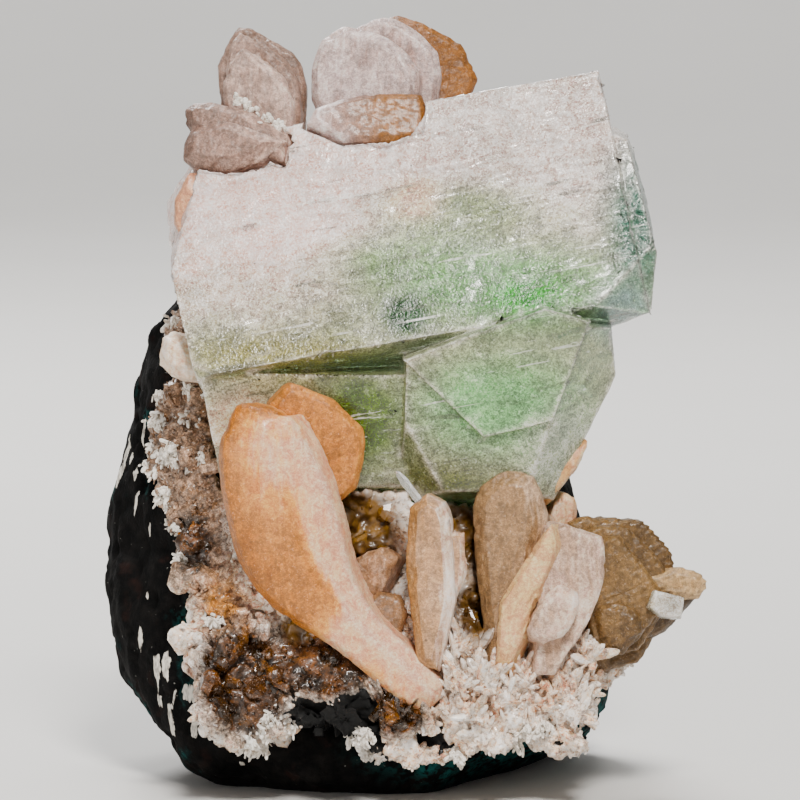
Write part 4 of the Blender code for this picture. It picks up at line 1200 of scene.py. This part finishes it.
for name, count, shortest, longest, buried, upward, widest, where in CROPS:
    roots, outward, corner = scatter(crust_mesh, count, where, draw)
    ways = unit(outward + 0.5 * draw.normal(size=outward.shape) + np.array([0.0, 0.0, upward]))
    lengths = draw.uniform(shortest, longest, count)
    widths = lengths * draw.uniform(widest / 2, widest, count)
    flatness = draw.uniform(0.5, 1.0, count)
    mesh = crop_of_crystals(name, roots, ways, lengths, widths, flatness, buried, draw)
    spread_values(mesh, "rim", crust_rim[corner])
    spread_values(mesh, "cavity", np.zeros(count))
    spread_values(mesh, "shade", draw.uniform(0, 1, count))
    show(name, mesh, druse_finish, "zeolite_crust", rounded=False)

# %% [markdown]
# ## White tufts, the white seam and the clear splinter
# The crust ends in white fibrous tufts above the rock, a seam of small white crystals runs between the
# fan and the lobes on top, and a clear splinter sticks out above the middle blade. Tufts, seam and
# splinter are all made by the same crop of small crystals, thin and leaning down for the tufts.

# %% Tufts, seam and splinter
def white_finish():
    made = Finish("white_zeolite")
    grain = made.noise(0.4, 4.0)
    colour = made.blend(seen(214, 202, 186), seen(252, 247, 238), grain.rise(0.34, 0.54))
    return made.close(made.surface(base_color=colour, roughness=0.55, normal=made.bump(grain, 0.2)))


def clear_finish():
    made = Finish("clear_splinter")
    relief = made.bump(made.noise(0.8, 3.0), 0.06)
    return made.close(made.surface(
        base_color=(0.97, 0.97, 0.96), roughness=0.05, ior=1.535, transmission_weight=0.8,
        normal=relief,
    ))


white = white_finish()
TUFTS = np.array([  # x, z, radius of the tufts that the photograph shows
    (-17.0, 9.0, 1.6), (-18.2, 6.4, 1.2), (-15.0, 11.2, 1.2), (-5.4, 8.6, 1.3), (-3.6, 6.6, 1.0),
    (6.4, 6.6, 1.2), (10.0, 8.4, 0.9), (13.4, 8.4, 1.3), (17.6, 10.2, 1.2), (21.0, 12.0, 1.3),
    (24.4, 15.8, 1.5), (26.4, 19.6, 1.2), (-26.6, 27.6, 1.2), (-28.4, 41.0, 0.9), (-30.0, 45.6, 0.9),
    (-29.4, 36.0, 0.8), (-23.4, 22.0, 0.9),
])
MORE_TUFTS, TUFTS_EACH, TUFT_CRYSTALS, SEAM_CRYSTALS = 120, 5, 21, 120
low = smooth(-up, -14.0, -10.0) * smooth(-crust_normals[:, 1], -0.9, 0.1)
right = smooth(to_right, 18.0, 24.0) * smooth(-up, -20.0, -17.0)
left = smooth(-to_right, 20.0, 25.0) * smooth(-to_back, -4.0, 2.0)
along_edges = crust_rim * (low + right + 0.5 * left) * (1.0 - crust_cavity)
places, _, _ = scatter(crust_mesh, MORE_TUFTS, along_edges, draw)
shown = np.repeat(on_the_front(crust_points, crust_normals, TUFTS[:, :2]), TUFTS_EACH, axis=0)
shown = shown + draw.normal(size=shown.shape) * np.repeat(TUFTS[:, 2:], TUFTS_EACH, axis=0) * 0.6
centre = np.repeat(np.vstack([places, shown]), TUFT_CRYSTALS, axis=0)
spread = draw.normal(size=centre.shape) * 0.42
ways = unit(spread + np.array([0.0, -0.5, -0.7]) + 0.5 * draw.normal(size=centre.shape))
lengths = draw.uniform(0.5, 1.4, len(centre))
widths = lengths * draw.uniform(0.14, 0.30, len(centre))
flatness = draw.uniform(0.3, 1.0, len(centre))
tufts = crop_of_crystals("white_tufts", centre + spread, ways, lengths, widths, flatness, 0.4, draw)
show("white_tufts", tufts, white, "zeolite_crust", rounded=False)

share = draw.uniform(0, 1, SEAM_CRYSTALS)
seam = np.column_stack([-20.9 + 7.5 * share, 85.6 - 4.6 * share])
seam = seam + draw.normal(size=(SEAM_CRYSTALS, 2)) * 0.35
beside = [bpy.data.meshes[node + "_skin"] for node in ("stilbite_lobes_left", "stilbite_fan_top_left")]
beside_points = np.vstack([points_of(mesh) for mesh in beside])
beside_normals = np.vstack([normals_of(mesh) for mesh in beside])
roots = on_the_front(beside_points, beside_normals, seam)
ways = unit(np.array([0.1, -0.8, 0.5]) + 0.5 * draw.normal(size=(SEAM_CRYSTALS, 3)))
lengths = draw.uniform(0.6, 1.5, SEAM_CRYSTALS)
flatness = draw.uniform(0.5, 1.0, SEAM_CRYSTALS)
seam_mesh = crop_of_crystals("white_seam", roots, ways, lengths, lengths * 0.3, flatness, 0.5, draw)
show("white_seam", seam_mesh, white, "zeolite_crust", rounded=False)

root, tip = np.array([[2.6, -23.6, 37.0]]), np.array([[-0.9, -22.6, 41.4]])
length, half_width, flatness = np.array([[5.6], [0.62], [0.8]])
splinter = crop_of_crystals(
    "clear_splinter", root, unit(tip - root), length, half_width, flatness, 0.0, draw,
)
show("clear_splinter", splinter, clear_finish(), "apophyllite", rounded=False)

# %% [markdown]
# ## Floor, light and camera
# A pale floor curves up into a backdrop. The main light is soft and stands high in front, a little to
# the right. A weaker one lies low on the left, one shines from behind, and one lights the backdrop. The
# camera stands where the photograph was taken from: 0.9 m away, looking down by 6 degrees, through a
# long lens.

# %% Stage
def floor_finish():
    made = Finish("floor")
    colour = made.blend(seen(214, 212, 208), seen(220, 218, 215), made.noise(60.0, 3.0))
    return made.close(made.surface(base_color=colour, roughness=0.6))


def backdrop():
    """A sheet from the front edge to the top of the wall: flat, then a quarter circle, then upright."""
    bend = np.linspace(0, np.pi / 2, 24)
    curve = np.column_stack([0.9 + 0.7 * np.sin(bend), 0.7 - 0.7 * np.cos(bend)])
    profile = np.vstack([[[-1.6, 0.0]], curve, [[1.6, 2.6]]])
    across = np.linspace(-2.4, 2.4, 9)
    points = np.array([[x, y, z] for y, z in profile for x in across])
    index = np.arange(len(points)).reshape(len(profile), len(across))
    quads = np.stack([index[:-1, :-1], index[:-1, 1:], index[1:, 1:], index[1:, :-1]], -1)
    mesh = bpy.data.meshes.new("floor")
    mesh.from_pydata(points, [], quads.reshape(-1, 4).tolist())
    mesh.polygons.foreach_set("use_smooth", np.ones(len(mesh.polygons), bool))
    mesh.materials.append(floor_finish())
    return mesh


floor = bpy.data.objects.new("floor", backdrop())
bpy.context.scene.collection.objects.link(floor)


def lamp(name, place, target, size, power, tint):
    data = bpy.data.lights.new(name, "AREA")
    data.shape = "DISK"
    data.size, data.energy, data.color = size, power, tint
    lit = bpy.data.objects.new(name, data)
    lit.location = place
    lit.rotation_euler = (Vector(target) - Vector(place)).to_track_quat("-Z", "Y").to_euler()
    bpy.context.scene.collection.objects.link(lit)


MIDDLE = (0.0, 0.0, 0.05)
lamp("key", (0.10, -0.58, 0.66), MIDDLE, 0.20, 9.5, (1.0, 0.97, 0.93))
lamp("fill", (-0.50, -0.55, 0.03), MIDDLE, 0.40, 2.4, (1.0, 0.98, 0.95))
lamp("back", (-0.20, 0.50, 0.50), MIDDLE, 0.30, 4.5, (1.0, 1.0, 1.0))
lamp("wall", (0.0, 0.40, 1.40), (0.0, 1.6, 0.50), 0.80, 22.0, (1.0, 1.0, 1.0))

world = bpy.data.worlds.new("studio")
world.use_nodes = True
world.node_tree.nodes["Background"].inputs["Color"].default_value = (0.80, 0.81, 0.83, 1.0)
world.node_tree.nodes["Background"].inputs["Strength"].default_value = 0.22
bpy.context.scene.world = world

DOWN = np.radians(6.0)
camera_data = bpy.data.cameras.new("camera")
camera_data.lens, camera_data.sensor_width = 324.0, 36.0
camera = bpy.data.objects.new("camera", camera_data)
camera.location = (-0.00035, -0.8955, 0.14177)
camera.rotation_euler = (np.pi / 2 - DOWN, 0.0, 0.0)
bpy.context.scene.collection.objects.link(camera)
bpy.context.scene.camera = camera
